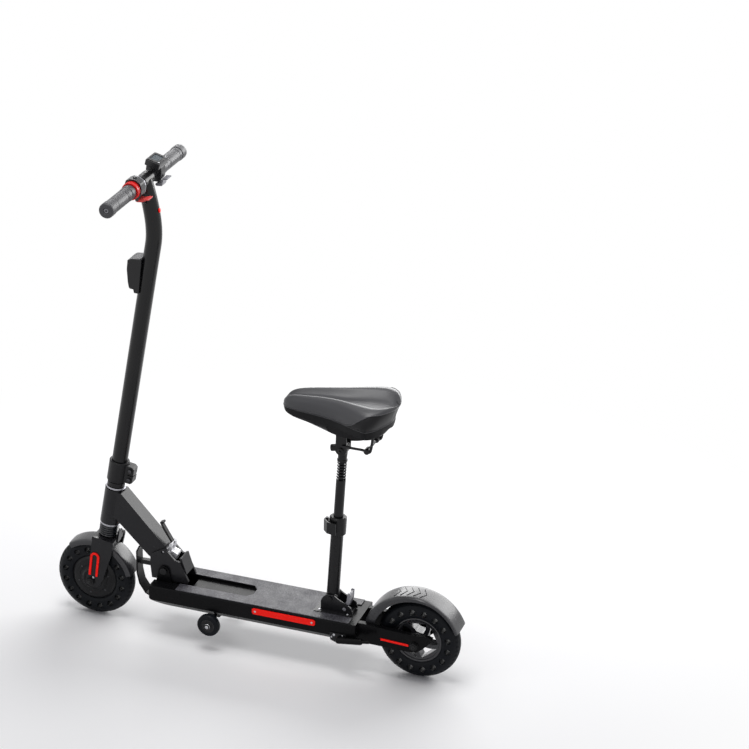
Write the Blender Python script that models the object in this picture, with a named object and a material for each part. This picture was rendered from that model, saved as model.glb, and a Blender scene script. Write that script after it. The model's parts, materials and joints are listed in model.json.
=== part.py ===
import bpy
import bmesh
from math import sin, cos, pi, radians, sqrt, atan2
from mathutils import Vector

# Electric scooter with a folding front end and a sprung seat post.
# Metres, +Z up, front wheel towards -X, left side towards -Y.

for old in list(bpy.data.objects):
    bpy.data.objects.remove(old, do_unlink=True)

# Fits
GAP = 0.0003
PIN_PLAY = 0.0003

# Wheels
WHEEL_R = 0.100
WHEELBASE = 0.8295
TYRE_HALF_W = 0.022
RIM_R = 0.0577
TYRE_HOLES = 16
TYRE_HOLE_R = 0.0070
TYRE_HOLE_RING_R = 0.0755
WHEEL_STEPS = 32
AXLE_R = 0.006
HUB_HALF_W = 0.026

# Steering
RAKE = radians(9.87)
HEAD_X = 0.040
HEAD_Z = 0.257
HEAD_LEN = 0.0965
HEAD_R = 0.025
STEERER_R = 0.0165
STEM_R = 0.019
STANCHION_R = 0.0122
HEAD_RING_H = 0.0062
CLAMP_START = 0.117
CLAMP_LEN = 0.055
CLAMP_R = 0.0245
STEM_STRAIGHT = 0.745
STEM_BEND = 0.055
FORK_TRAVEL = 0.012
BOOT_LEN = 0.0295
STANCHION_END = -0.0345
FORK_SLEEVE_R = 0.0165
FORK_SLEEVE_TOP = -0.0205
FORK_BORE_END = -0.0472
LEG_IN = 0.031
LEG_T = 0.006

# Handlebar
BAR_X = 0.148
BAR_Z = 1.141
BAR_R = 0.011
BAR_HALF = 0.205
GRIP_LEN = 0.128
GRIP_R = 0.0172
RING_W = 0.0150
RING_R = 0.0205
CONTROL_W = 0.026
DISPLAY_PUSH = 0.0076

# Deck
DECK_FRONT = 0.165
DECK_TO_AXLE = 0.1395
DECK_REAR = WHEELBASE - DECK_TO_AXLE
DECK_TOP = 0.134
DECK_BOTTOM = 0.080
DECK_HALF_W = 0.0624
DECK_SIDE_LOW = 0.097
DECK_FLOOR_HALF_W = 0.045
MAT_T = 0.0022
SLOT_END = 0.262
SLOT_HALF_W = 0.028
SLOT_FLOOR = 0.0865
BAY_FRONT = 0.275
BAY_END_WALL = 0.018
BAY_REAR = DECK_REAR - BAY_END_WALL
BAY_TOP = 0.1245
BAY_HALF_W = 0.0425
CHANNEL_END = 0.404
CHANNEL_DEPTH = 0.005
CHANNEL_HALF_W = 0.0262

# Fold
FOLD_X = 0.1915
FOLD_Z = 0.1625
FOLD_PIN_R = 0.005
PLATE_IN = 0.0205
PLATE_T = 0.0055
EAR_T = 0.004
EAR_R = 0.014
TUBE_HALF_W = 0.021

# Casters
CASTER_X = 0.3255
CASTER_Z = 0.0667
CASTER_R = 0.028
CASTER_IN = 0.0655
CASTER_W = 0.019
CASTER_AXLE_R = 0.004

# Rear end
ARM_IN = 0.032
ARM_T = 0.0125
FENDER_R = 0.1215
FENDER_T = 0.003
FENDER_REAR = radians(22)
FENDER_FRONT = radians(166)
FRONT_FENDER_R = 0.106
FRONT_FENDER_T = 0.0025

# Seat
SEAT_SETBACK = 0.078
SEAT_X = DECK_REAR - SEAT_SETBACK
SEAT_Z = 0.168
SEAT_LEAN = radians(2.9)
LOWER_POST_R = 0.0150
POST_BORE_R = 0.0136
UPPER_POST_R = 0.0114
LOWER_POST_LEN = 0.1663
GUIDE_IN = 0.0483
GUIDE_LOW = LOWER_POST_LEN - GUIDE_IN
COLLAR_LEN = 0.047
COLLAR_R = 0.0205
POST_SHOW = 0.0967
SPRING_START = LOWER_POST_LEN + COLLAR_LEN + POST_SHOW
SPRING_LEN = 0.0480
SPRING_TURNS = 6
SPRING_COIL_R = 0.0095
SPRING_WIRE_R = 0.0019
SEAT_ROD_R = 0.006
TILT_RISE = 0.0345
TILT_LEN = SPRING_START + SPRING_LEN + TILT_RISE
POST_DROP = 0.080
HEIGHT_RANGE = 0.015
POST_OVERLAP = 0.0363
UPPER_POST_LOW = LOWER_POST_LEN - POST_OVERLAP
POST_BORE_LOW = 0.0245
TILT_R = 0.0145
SADDLE_RISE = 0.0900
SADDLE_SPLIT = SEAT_Z + TILT_LEN * cos(SEAT_LEAN) + SADDLE_RISE

# Kickstand
STAND_SETBACK = 0.035
STAND_X = DECK_REAR - STAND_SETBACK
STAND_Z = 0.090
STAND_LEN = 0.086
STAND_PIN_R = 0.004

fender_reach = WHEELBASE + FENDER_R * cos(FENDER_REAR)
origin_x = (fender_reach - WHEEL_R) / 2

root = bpy.data.objects.new("scooter", None)
root.location = (-origin_x, 0, 0)
bpy.context.scene.collection.objects.link(root)


def material(name, colour, roughness, metallic=0.0):
    made = bpy.data.materials.new(name)
    made.use_nodes = True
    shader = made.node_tree.nodes["Principled BSDF"]
    shader.inputs["Base Color"].default_value = (*colour, 1)
    shader.inputs["Roughness"].default_value = roughness
    shader.inputs["Metallic"].default_value = metallic
    return made


def link(name, bm, origin):
    bmesh.ops.recalc_face_normals(bm, faces=bm.faces)
    bmesh.ops.translate(bm, verts=bm.verts, vec=-Vector(origin))
    mesh = bpy.data.meshes.new(name)
    bm.to_mesh(mesh)
    bm.free()
    mesh.shade_smooth()
    mesh.set_sharp_from_angle(angle=radians(35))
    ob = bpy.data.objects.new(name, mesh)
    ob.location = origin
    ob.parent = root
    bpy.context.scene.collection.objects.link(ob)
    return ob


def piece(name, bm, colour, roughness, metallic=0.0, origin=(0, 0, 0)):
    ob = link(name, bm, origin)
    ob.data.materials.append(material(name, colour, roughness, metallic))
    return ob


def alter(ob, bm, operation):
    tool = link("tool_" + ob.name + str(len(ob.modifiers)), bm, (0, 0, 0))
    tool.hide_render = True
    tool.display_type = "WIRE"
    change = ob.modifiers.new(operation.lower(), "BOOLEAN")
    change.operation = operation
    change.object = tool
    change.solver = "EXACT"
    return tool


def cut(ob, bm):
    return alter(ob, bm, "DIFFERENCE")


def join(ob, bm):
    return alter(ob, bm, "UNION")


def loft(rings, closed=False):
    bm = bmesh.new()
    rows = [[bm.verts.new(p) for p in ring] for ring in rings]
    count = len(rings[0])
    for i in range(len(rows) if closed else len(rows) - 1):
        a, b = rows[i], rows[(i + 1) % len(rows)]
        for j in range(count):
            bm.faces.new((a[j], a[(j + 1) % count], b[(j + 1) % count], b[j]))
    if not closed:
        bm.faces.new(rows[0][::-1])
        bm.faces.new(rows[-1])
    bmesh.ops.recalc_face_normals(bm, faces=bm.faces)
    return bm


def merge(first, second):
    mesh = bpy.data.meshes.new("merged")
    second.to_mesh(mesh)
    second.free()
    first.from_mesh(mesh)
    return first


def side_plate(outline, lo, hi):
    return loft([[(x, y, z) for x, z in outline] for y in (lo, hi)])


def box(x0, x1, y0, y1, z0, z1):
    return loft([[(x, y0, z0), (x, y1, z0), (x, y1, z1), (x, y0, z1)] for x in (x0, x1)])


def basis(axis):
    axis = Vector(axis).normalized()
    start = Vector((1, 0, 0)) if abs(axis.x) < 0.9 else Vector((0, 1, 0))
    u = (start - axis * start.dot(axis)).normalized()
    return axis, u, axis.cross(u)


def turned(profile, centre, axis, steps=20, hollow=False):
    axis, u, v = basis(axis)
    centre = Vector(centre)
    rings = []
    for r, t in profile:
        ring = []
        for k in range(steps):
            a = 2 * pi * k / steps
            ring.append(centre + axis * t + (u * cos(a) + v * sin(a)) * r)
        rings.append(ring)
    return loft(rings, hollow)


def rod(radius, centre, axis, t0, t1, steps=16):
    return turned([(radius, t0), (radius, t1)], centre, axis, steps)


def swept(points, radii, sides=12):
    points = [Vector(p) for p in points]
    if not hasattr(radii, "__len__"):
        radii = [radii] * len(points)
    heads = []
    for i in range(len(points)):
        a = points[max(i - 1, 0)]
        b = points[min(i + 1, len(points) - 1)]
        heads.append((b - a).normalized())
    _, u, _ = basis(heads[0])
    rings = []
    for p, d, r in zip(points, heads, radii):
        u = (u - d * u.dot(d)).normalized()
        v = d.cross(u)
        rings.append([p + (u * cos(2 * pi * k / sides) + v * sin(2 * pi * k / sides)) * r for k in range(sides)])
    return loft(rings)


def strip_outline(path, thickness):
    points = [Vector(p) for p in path]
    left, right = [], []
    for i, p in enumerate(points):
        a = points[max(i - 1, 0)]
        b = points[min(i + 1, len(points) - 1)]
        d = (b - a).normalized()
        n = Vector((-d.y, d.x))
        left.append(p + n * thickness / 2)
        right.append(p - n * thickness / 2)
    return [tuple(p) for p in left + right[::-1]]


def circle_points(x, z, r, start, stop, count):
    return [(x + r * cos(start + (stop - start) * k / (count - 1)), z + r * sin(start + (stop - start) * k / (count - 1))) for k in range(count)]


# Steering axis: distance s from the lower end of the head tube
steer_dir = Vector((sin(RAKE), 0, cos(RAKE)))
head = Vector((HEAD_X, 0, HEAD_Z))


def on_axis(s):
    return head + steer_dir * s


# Front frame: head tube, slanting tube, hinge bracket
fold = (FOLD_X, 0, FOLD_Z)
tube_end_top = (0.194, 0.222)
tube_end_low = (0.148, 0.193)
tube_root_top = (0.0795, 0.3455)
tube_root_low = (0.066, 0.273)
bolt_dir = Vector((0.365, 0, 0.931)).normalized()
bolt_side = Vector((0.931, 0, -0.365)).normalized()
fold_point = Vector(fold)

tube_outline = [(0.048, 0.347), tube_root_top, tube_end_top, (0.1849, 0.1987), (0.150, 0.191), tube_end_low, tube_root_low, (0.044, 0.285)]
plate_outline = [(0.158, 0.1375), (0.1536, 0.178), (0.158, 0.203), (0.1925, 0.2215), (0.219, 0.194), (0.232, 0.191), (0.2535, 0.1433), (0.252, 0.1375)]
web_outline = [(0.2475, 0.160), (0.2345, 0.2005), (0.2290, 0.199), (0.2420, 0.159)]
wall_outline = [(0.1545, 0.178), (0.1515, 0.1945), (0.160, 0.199), (0.1625, 0.178), (0.166, 0.150), (0.160, 0.150)]
lug_outline = [(0.1174, 0.157), (0.1174, 0.168), (0.159, 0.170), (0.162, 0.160), (0.158, 0.157)]

front_frame = piece("front_frame", turned([(HEAD_R, 0), (HEAD_R, HEAD_LEN)], head, steer_dir, 24), (0.028, 0.028, 0.031), 0.42)
join(front_frame, side_plate(tube_outline, -TUBE_HALF_W, TUBE_HALF_W))
join(front_frame, side_plate(plate_outline, PLATE_IN, PLATE_IN + PLATE_T))
join(front_frame, side_plate(plate_outline, -PLATE_IN - PLATE_T, -PLATE_IN))
join(front_frame, side_plate(web_outline, -PLATE_IN - 0.001, PLATE_IN + 0.001))
join(front_frame, side_plate(wall_outline, -PLATE_IN - 0.0012, PLATE_IN + 0.0012))
join(front_frame, side_plate(lug_outline, -0.006, 0.006))
cut(front_frame, rod(STEERER_R + 0.0007, head, steer_dir, -0.02, HEAD_LEN + 0.02, 24))
cut(front_frame, rod(FOLD_PIN_R + PIN_PLAY, fold, (0, 1, 0), -0.05, 0.05))
cut(front_frame, rod(0.004, (0.187, 0, 0.211), (0, 1, 0), -0.05, 0.05, 10))

ring_profile = [(STEERER_R + GAP, 0), (HEAD_R - 0.002, 0), (HEAD_R - 0.0005, 0.002), (HEAD_R - 0.0005, HEAD_RING_H - GAP), (STEERER_R + GAP, HEAD_RING_H - GAP)]
piece("head_ring_top", turned(ring_profile, on_axis(HEAD_LEN + GAP), steer_dir, 24, True), (0.62, 0.63, 0.65), 0.25, 1.0)
piece("head_ring_bottom", turned(ring_profile, on_axis(-HEAD_RING_H), steer_dir, 24, True), (0.62, 0.63, 0.65), 0.25, 1.0)

# Nose strip and caster arm, bolted under the slanting tube
strip_path = [(0.136, 0.220), (0.1215, 0.2085), (0.1145, 0.194), (0.1145, 0.136), (0.1205, 0.108), (0.136, 0.0845), (0.153, 0.0772), (0.175, 0.0757), (0.300, 0.0757)]
arm_outline = [(0.286, 0.0775), (0.334, 0.0755), (0.3355, 0.063), (0.328, 0.0555), (0.305, 0.0545), (0.291, 0.068)]
caster_arm = piece("caster_arm", side_plate(strip_outline(strip_path, 0.004), -0.016, 0.016), (0.030, 0.030, 0.033), 0.45)
join(caster_arm, side_plate(arm_outline, -0.0155, 0.0155))
face = Vector((tube_end_low[0] - tube_root_low[0], 0, tube_end_low[1] - tube_root_low[1])).normalized()
under = Vector((face.z, 0, -face.x))
low_a = Vector((tube_root_low[0], 0, tube_root_low[1])) + under * GAP - face * 0.05
low_b = Vector((tube_end_low[0], 0, tube_end_low[1])) + under * GAP + face * 0.05
cut(caster_arm, side_plate([(low_a.x, low_a.z), (low_b.x, low_b.z), (low_b.x - under.x * 0.05, low_b.z - under.z * 0.05), (low_a.x - under.x * 0.05, low_a.z - under.z * 0.05)], -0.05, 0.05))

caster_out = CASTER_IN + CASTER_W
caster_centre = (CASTER_X, 0, CASTER_Z)
axle_half = [(0.007, caster_out + 0.0045), (0.007, caster_out + GAP), (CASTER_AXLE_R, caster_out + GAP)]
join(caster_arm, turned([(r, -t) for r, t in axle_half] + axle_half[::-1], caster_centre, (0, 1, 0), 14))
for side, word in ((-1, "left"), (1, "right")):
    start = side * CASTER_IN
    place = (CASTER_X, start, CASTER_Z)
    tyre = [(0.0175, 0.001), (0.0255, 0.001), (CASTER_R, 0.005), (CASTER_R, CASTER_W - 0.005), (0.0255, CASTER_W - 0.001), (0.0175, CASTER_W - 0.001)]
    hub = [(CASTER_AXLE_R + PIN_PLAY, 0), (0.010, 0), (0.0175 - GAP, 0.0015), (0.0175 - GAP, CASTER_W - 0.0015), (0.010, CASTER_W), (CASTER_AXLE_R + PIN_PLAY, CASTER_W)]
    piece("caster_tyre_" + word, turned(tyre, place, (0, side, 0), 24, True), (0.015, 0.015, 0.016), 0.7, 0, place)
    piece("caster_hub_" + word, turned(hub, place, (0, side, 0), 20, True), (0.60, 0.61, 0.63), 0.3, 1.0, place)

# Latch: bright block, spring bolt inside it, pull handle over it
block_lo, block_hi = 0.029, 0.050
block_left, block_right = 0.0191, 0.0115
BLOCK_HALF_W = 0.0118


def on_block(along, across):
    p = fold_point + bolt_dir * along + bolt_side * across
    return (p.x, p.z)


BOLT_R = 0.004
block_outline = [on_block(block_lo, -block_left), on_block(block_lo, block_right), on_block(block_hi - 0.003, block_right), on_block(block_hi, block_right - 0.003), on_block(block_hi, -block_left)]
handle_pin = on_block(0.044, -0.010)
handle_at = (handle_pin[0], 0, handle_pin[1])
HANDLE_PIN_R = 0.003
latch_block = piece("latch_block", side_plate(block_outline, -BLOCK_HALF_W, BLOCK_HALF_W), (0.72, 0.73, 0.75), 0.12, 1.0)
cut(latch_block, rod(BOLT_R + PIN_PLAY, fold, bolt_dir, 0.020, 0.060, 14))
cut(latch_block, rod(HANDLE_PIN_R + PIN_PLAY, handle_at, (0, 1, 0), -0.03, 0.03, 12))
BOLT_NOSE = 0.0245
piece("lock_bolt", turned([(0.0026, 0), (BOLT_R, 0.002), (BOLT_R, 0.0245)], fold_point + bolt_dir * BOLT_NOSE, bolt_dir, 14), (0.55, 0.56, 0.58), 0.3, 1.0, tuple(fold_point + bolt_dir * BOLT_NOSE))

lever_dir = Vector((0.170 - handle_pin[0], 0, 0.277 - handle_pin[1])).normalized()
lever_out = Vector((lever_dir.z, 0, -lever_dir.x))
CHEEK_IN = 0.0123
CHEEK_OUT = 0.0145


def on_lever(along, out):
    p = Vector(handle_at) + lever_dir * along + lever_out * out
    return (p.x, p.z)


handle_outline = [on_lever(-0.006, -0.006), on_lever(0.006, -0.006), on_lever(0.012, 0.0026), on_lever(0.075, 0.0030), on_lever(0.075, 0.0135), on_lever(0.050, 0.0165), on_lever(0.014, 0.0155), on_lever(-0.006, 0.008)]
latch_handle = piece("latch_handle", side_plate(handle_outline, -CHEEK_OUT, CHEEK_OUT), (0.022, 0.022, 0.024), 0.35, 0, handle_at)
inside = [on_lever(-0.02, -0.02), on_lever(0.0725, -0.02), on_lever(0.0725, 0.0112), on_lever(0.050, 0.0142), on_lever(0.030, 0.0138), on_lever(0.030, 0.03), on_lever(-0.02, 0.03)]
cut(latch_handle, side_plate(inside, -CHEEK_IN, CHEEK_IN))
join(latch_handle, rod(HANDLE_PIN_R, handle_at, (0, 1, 0), -CHEEK_OUT + 0.0005, CHEEK_OUT - 0.0005, 12))

# Fold pivot pin
ear_in = PLATE_IN + PLATE_T + 0.0013
ear_out = ear_in + EAR_T
pin_half = [(0.0065, ear_out + 0.005), (0.009, ear_out + 0.0038), (0.009, ear_out + GAP), (FOLD_PIN_R, ear_out + GAP)]
piece("fold_pin", turned([(r, -t) for r, t in pin_half] + pin_half[::-1], fold, (0, 1, 0), 16), (0.58, 0.59, 0.61), 0.28, 1.0, fold)

# Steering: stem, clamp, handlebar
bend_start = on_axis(STEM_STRAIGHT)
bend_mid = on_axis(STEM_STRAIGHT + STEM_BEND)
bar = Vector((BAR_X, 0, BAR_Z))


def on_bend(t):
    return bend_start * (1 - t) ** 2 + bend_mid * 2 * t * (1 - t) + bar * t ** 2


stem_low = -HEAD_RING_H + 0.0005
stem_points = [on_axis(STANCHION_END), on_axis(stem_low), on_axis(stem_low + 0.0002), on_axis(HEAD_LEN + HEAD_RING_H + 2 * GAP), on_axis(HEAD_LEN + HEAD_RING_H + 2 * GAP + 0.0002), on_axis(CLAMP_START - 0.003), on_axis(CLAMP_START - 0.001)]
stem_radii = [STANCHION_R, STANCHION_R, STEERER_R, STEERER_R, 0.0215, 0.0215, STEM_R]
stem_points += [on_axis(STEM_STRAIGHT)] + [on_bend(k / 8) for k in range(1, 8)] + [on_bend(0.995)]
stem_radii += [STEM_R] * 9
steer_origin = tuple(head)
stem = piece("stem", swept(stem_points, stem_radii, 20), (0.030, 0.030, 0.033), 0.38, 0, steer_origin)
SLEEVE_R = 0.0165
join(stem, rod(SLEEVE_R, bar, (0, 1, 0), -0.023, 0.023, 20))
cut(stem, rod(BAR_R + GAP, bar, (0, 1, 0), -0.05, 0.05, 20))

clamp_mid = on_axis(CLAMP_START + CLAMP_LEN / 2)
rear_dir = Vector((cos(RAKE), 0, -sin(RAKE)))
clamp = piece("stem_clamp", turned([(CLAMP_R - 0.002, CLAMP_START), (CLAMP_R, CLAMP_START + 0.002), (CLAMP_R, CLAMP_START + CLAMP_LEN - 0.002), (CLAMP_R - 0.002, CLAMP_START + CLAMP_LEN)], head, steer_dir, 24), (0.026, 0.026, 0.028), 0.36, 0, steer_origin)


def on_clamp(out, along):
    p = clamp_mid + rear_dir * out + steer_dir * along
    return (p.x, p.z)


CLAMP_BOLT_R = 0.0052
join(clamp, side_plate([on_clamp(0.015, -0.023), on_clamp(0.038, -0.023), on_clamp(0.0435, -0.018), on_clamp(0.0435, 0.018), on_clamp(0.038, 0.023), on_clamp(0.015, 0.023)], -0.0115, 0.0115))
for along in (-0.012, 0.012):
    p = on_clamp(0.034, along)
    join(clamp, rod(CLAMP_BOLT_R, (p[0], 0, p[1]), (0, 1, 0), -0.0145, 0.0145, 12))
cut(clamp, side_plate([on_clamp(0.010, -0.03), on_clamp(0.0275, -0.03), on_clamp(0.0275, 0.03), on_clamp(0.010, 0.03)], -0.001, 0.001))
cut(clamp, rod(STEM_R + GAP, head, steer_dir, CLAMP_START - 0.01, CLAMP_START + CLAMP_LEN + 0.01, 20))

box_outline = [(0.1465, 0.9560), (0.1190, 0.9530), (0.1112, 0.9480), (0.1090, 0.9280), (0.1108, 0.8970), (0.1130, 0.8835), (0.1160, 0.8805), (0.1240, 0.8805), (0.1255, 0.8715), (0.1375, 0.8710)]
stem_box = piece("stem_box", side_plate(box_outline, -0.0215, 0.0215), (0.024, 0.024, 0.026), 0.45, 0, steer_origin)
cut(stem_box, rod(STEM_R + GAP, head, steer_dir, 0.55, 0.78, 20))

piece("handlebar", rod(BAR_R, bar, (0, 1, 0), -BAR_HALF, BAR_HALF, 20), (0.30, 0.31, 0.33), 0.3, 1.0, tuple(bar))
grip_in = BAR_HALF + 0.003 - GRIP_LEN
grip_profile = [(BAR_R + GAP, 0), (GRIP_R, 0), (GRIP_R, 0.018), (GRIP_R - 0.0007, 0.020), (GRIP_R - 0.0007, GRIP_LEN - 0.026), (GRIP_R + 0.0004, GRIP_LEN - 0.024), (GRIP_R + 0.0004, GRIP_LEN - 0.004), (GRIP_R - 0.002, GRIP_LEN), (0.006, GRIP_LEN), (0.006, GRIP_LEN - 0.0026), (BAR_R + GAP, GRIP_LEN - 0.0026)]
for side, word in ((-1, "left"), (1, "right")):
    piece("grip_" + word, turned(grip_profile, bar + Vector((0, side * grip_in, 0)), (0, side, 0), 20, True), (0.13, 0.13, 0.145), 0.55, 0, (BAR_X, side * grip_in, BAR_Z))

ring_at = grip_in - GAP - RING_W
ring_round = [(BAR_R + GAP, 0), (RING_R - 0.001, 0), (RING_R, 0.0012), (RING_R, RING_W - 0.0012), (RING_R - 0.001, RING_W), (BAR_R + GAP, RING_W)]
piece("red_ring", turned(ring_round, bar + Vector((0, -ring_at, 0)), (0, -1, 0), 24, True), (0.72, 0.010, 0.008), 0.35, 0, (BAR_X, -ring_at, BAR_Z))

control_out = ring_at - GAP
control_in = control_out - CONTROL_W
lever_pivot = (BAR_X + 0.010, 0, BAR_Z - 0.0245)
LEVER_HUB_R = 0.0042
control_outline = [(BAR_X + x, BAR_Z + z) for x, z in [(-0.0193, 0.0090), (-0.0157, 0.0198), (-0.0058, 0.0245), (0.0063, 0.0242), (0.0192, 0.0156), (0.0225, 0.0040), (0.0205, -0.011), (0.015, -0.0185), (-0.008, -0.0185), (-0.0165, -0.010)]]
display_outline = [(BAR_X + x, BAR_Z + z) for x, z in [(-0.0165, 0.0070), (-0.0145, 0.0220), (-0.0080, 0.0300), (0.0120, 0.0300), (0.0225, 0.0170), (0.0225, 0.0040), (0.0205, -0.011), (0.015, -0.0185), (-0.008, -0.0185), (-0.0165, -0.010)]]
right_in, right_out = control_in + DISPLAY_PUSH, control_out + DISPLAY_PUSH
control_box = piece("control_box", side_plate(control_outline, -control_out, -control_in), (0.16, 0.16, 0.175), 0.42, 0, tuple(bar))
cut(control_box, rod(BAR_R + GAP, bar, (0, 1, 0), -0.1, 0.0, 20))
BUTTON_R = 0.005
button_at = (BAR_X + 0.001, -(control_out + control_in) / 2, BAR_Z + 0.0265)
cut(control_box, rod(BUTTON_R + GAP, button_at, (0, 0, 1), -0.0075, 0.01, 12))
piece("mode_button", turned([(BUTTON_R, -0.0055), (BUTTON_R, -0.001), (BUTTON_R - 0.001, 0)], button_at, (0, 0, 1), 12), (0.05, 0.05, 0.055), 0.4, 0, button_at)

display = piece("display_housing", side_plate(display_outline, right_in, right_out), (0.09, 0.09, 0.10), 0.4, 0, tuple(bar))
SCREEN_TILT = radians(24)
face_dir = Vector((cos(SCREEN_TILT), 0, -sin(SCREEN_TILT)))
face_up = Vector((sin(SCREEN_TILT), 0, cos(SCREEN_TILT)))
face_mid = Vector((BAR_X + 0.0125, 0, BAR_Z + 0.0375))
DISPLAY_HALF = 0.0225
DISPLAY_T = 0.015
SCREEN_EDGE = 0.0085
display_in, display_out = right_in - 0.0255, right_out + 0.0005


def on_face(along, out):
    p = face_mid + face_dir * along + face_up * out
    return (p.x, p.z)


join(display, side_plate([on_face(-DISPLAY_HALF, -DISPLAY_T), on_face(-DISPLAY_HALF, -0.002), on_face(-DISPLAY_HALF + 0.002, 0), on_face(DISPLAY_HALF - 0.003, 0), on_face(DISPLAY_HALF, -0.003), on_face(DISPLAY_HALF, -DISPLAY_T)], display_in, display_out))
cut(display, rod(BAR_R + GAP, bar, (0, 1, 0), 0.0, 0.1, 20))
SCREEN_DEPTH = 0.0012
screen_outline = [on_face(-0.0155, -SCREEN_DEPTH), on_face(-0.0155, 0.002), on_face(0.0125, 0.002), on_face(0.0125, -SCREEN_DEPTH)]
cut(display, side_plate(screen_outline, display_in + SCREEN_EDGE, display_out - SCREEN_EDGE))
piece("display_screen", side_plate([on_face(-0.0152, GAP - SCREEN_DEPTH), on_face(-0.0152, -GAP), on_face(0.0122, -GAP), on_face(0.0122, GAP - SCREEN_DEPTH)], display_in + SCREEN_EDGE + GAP, display_out - SCREEN_EDGE - GAP), (0.16, 0.22, 0.26), 0.15, 0, tuple(bar))

# Thumb levers, each on a pin under its housing
pivot = Vector(lever_pivot)
brake_side = [(-LEVER_HUB_R, 0), (-0.003, -0.003), (0, -LEVER_HUB_R), (0.0120, -0.0030), (0.0225, 0.0022), (0.0280, 0.0028), (0.0285, 0.0058), (0.0222, 0.0056), (0.0110, 0.0026), (0.003, 0.003), (0, LEVER_HUB_R)]
throttle_side = [(-LEVER_HUB_R, 0), (-0.003, -0.003), (0, -LEVER_HUB_R), (0.0125, -0.0030), (0.0170, 0.0125), (0.0265, 0.0138), (0.0268, 0.0168), (0.0145, 0.0160), (0.0095, 0.0020), (0.003, 0.003), (0, LEVER_HUB_R)]
for word, y0, y1, colour in (("brake_lever", -control_out, -control_in, (0.80, 0.13, 0.12)), ("throttle_lever", right_in, right_out, (0.42, 0.42, 0.45))):
    paddle = [(pivot.x + x, pivot.z + z) for x, z in (brake_side if y0 < 0 else throttle_side)]
    lever = piece(word, side_plate(paddle, y0 + 0.001, y1 - 0.001), colour, 0.38, 0, (lever_pivot[0], (y0 + y1) / 2, lever_pivot[2]))
    cut(lever, rod(0.0018, lever_pivot, (0, 1, 0), -0.1, 0.1, 10))
    housing = control_box if y0 < 0 else display
    for end in (y0, y1):
        yy = sorted((end, end + (-0.0007 if end == y1 else 0.0007)))
        join(housing, side_plate([(pivot.x - 0.0035, pivot.z - 0.0015), (pivot.x - 0.0045, pivot.z + 0.0075), (pivot.x + 0.0045, pivot.z + 0.0075), (pivot.x + 0.0035, pivot.z - 0.0015)], yy[0], yy[1]))
    join(housing, rod(0.0015, lever_pivot, (0, 1, 0), y0 + 0.0002, y1 - 0.0002, 10))

# Rear-facing reflector and control cable on the stem
BEAD_T = 0.60
bead = on_bend(BEAD_T)
bead_run = ((bend_mid - bend_start) * (1 - BEAD_T) + (bar - bend_mid) * BEAD_T).normalized()
bead_out = Vector((bead_run.z, 0, -bead_run.x))
piece("stem_reflector", turned([(0.0055, STEM_R + GAP), (0.0055, STEM_R + 0.0012), (0.0042, STEM_R + 0.0020)], bead, bead_out, 14), (0.75, 0.02, 0.02), 0.2, 0, tuple(bead + bead_out * STEM_R))

cable_start = Vector((BAR_X - 0.008, -control_in + 0.0002, BAR_Z - 0.0145))
cable_turn = on_bend(0.75)
cable_end = cable_turn + Vector((0, -STEM_R - 0.0006, 0))
cable_route = [cable_start, cable_start + Vector((0.0003, 0.0050, -0.0008)), cable_start + Vector((0.0035, 0.0092, -0.0065)), cable_end + Vector((-0.0096, -0.0088, 0.0133)), cable_end + Vector((-0.0034, -0.0078, 0.0046)), cable_end + Vector((0, -0.0035, 0)), cable_end]


def smooth_points(points, per):
    out = []
    for i in range(len(points) - 1):
        p0, p1, p2, p3 = points[max(i - 1, 0)], points[i], points[i + 1], points[min(i + 2, len(points) - 1)]
        for k in range(per):
            t = k / per
            out.append(0.5 * (2 * p1 + (p2 - p0) * t + (2 * p0 - 5 * p1 + 4 * p2 - p3) * t * t + (3 * p1 - p0 - 3 * p2 + p3) * t ** 3))
    return out + [points[-1]]


piece("control_cable", swept(smooth_points(cable_route, 4), 0.0022, 8), (0.012, 0.012, 0.013), 0.5)

# Fork: crown, two legs, and a sleeve that slides on the stem's lower end
crown = [(0.0070, 0.2245), (0.0612, 0.2152), (0.0592, 0.2045), (0.0052, 0.2138)]
leg = [(0.0087, 0.2236), (0.0614, 0.2155), (0.0620, 0.208), (0.0535, 0.172), (0.0418, 0.139), (0.032, 0.108), (0.020, 0.0885), (0.006, 0.0842), (-0.010, 0.090), (-0.0145, 0.100), (-0.011, 0.113), (-0.002, 0.135), (0.004, 0.200)]
leg_out = LEG_IN + LEG_T
fork = piece("fork", side_plate(crown, -leg_out, leg_out), (0.030, 0.030, 0.033), 0.4, 0, tuple(on_axis(-0.040)))
join(fork, side_plate(leg, LEG_IN, leg_out + 0.0001))
join(fork, side_plate(leg, -leg_out - 0.0001, -LEG_IN))
join(fork, rod(FORK_SLEEVE_R, head, steer_dir, -0.044, FORK_SLEEVE_TOP, 20))
boss = box(0.016, 0.034, -0.012, 0.012, 0.196, 0.212)
saddle_tool = rod(FRONT_FENDER_R + GAP, (0, 0, WHEEL_R), (0, 1, 0), -0.0285, 0.0285, 72)
join(fork, boss)


def on_tab(out, s):
    p = on_axis(s) + rear_dir * out
    return (p.x, p.z)


join(fork, side_plate([on_tab(0.0262, -0.048), on_tab(0.0262, -0.018), on_tab(0.0285, -0.0155), on_tab(0.0305, -0.018), on_tab(0.0305, -0.048)], -0.009, 0.009))
cut(fork, saddle_tool)
cut(fork, rod(STANCHION_R + PIN_PLAY, head, steer_dir, FORK_BORE_END, 0.01, 20))
cut(fork, rod(AXLE_R + PIN_PLAY, (0, 0, WHEEL_R), (0, 1, 0), -0.06, 0.06))

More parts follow.
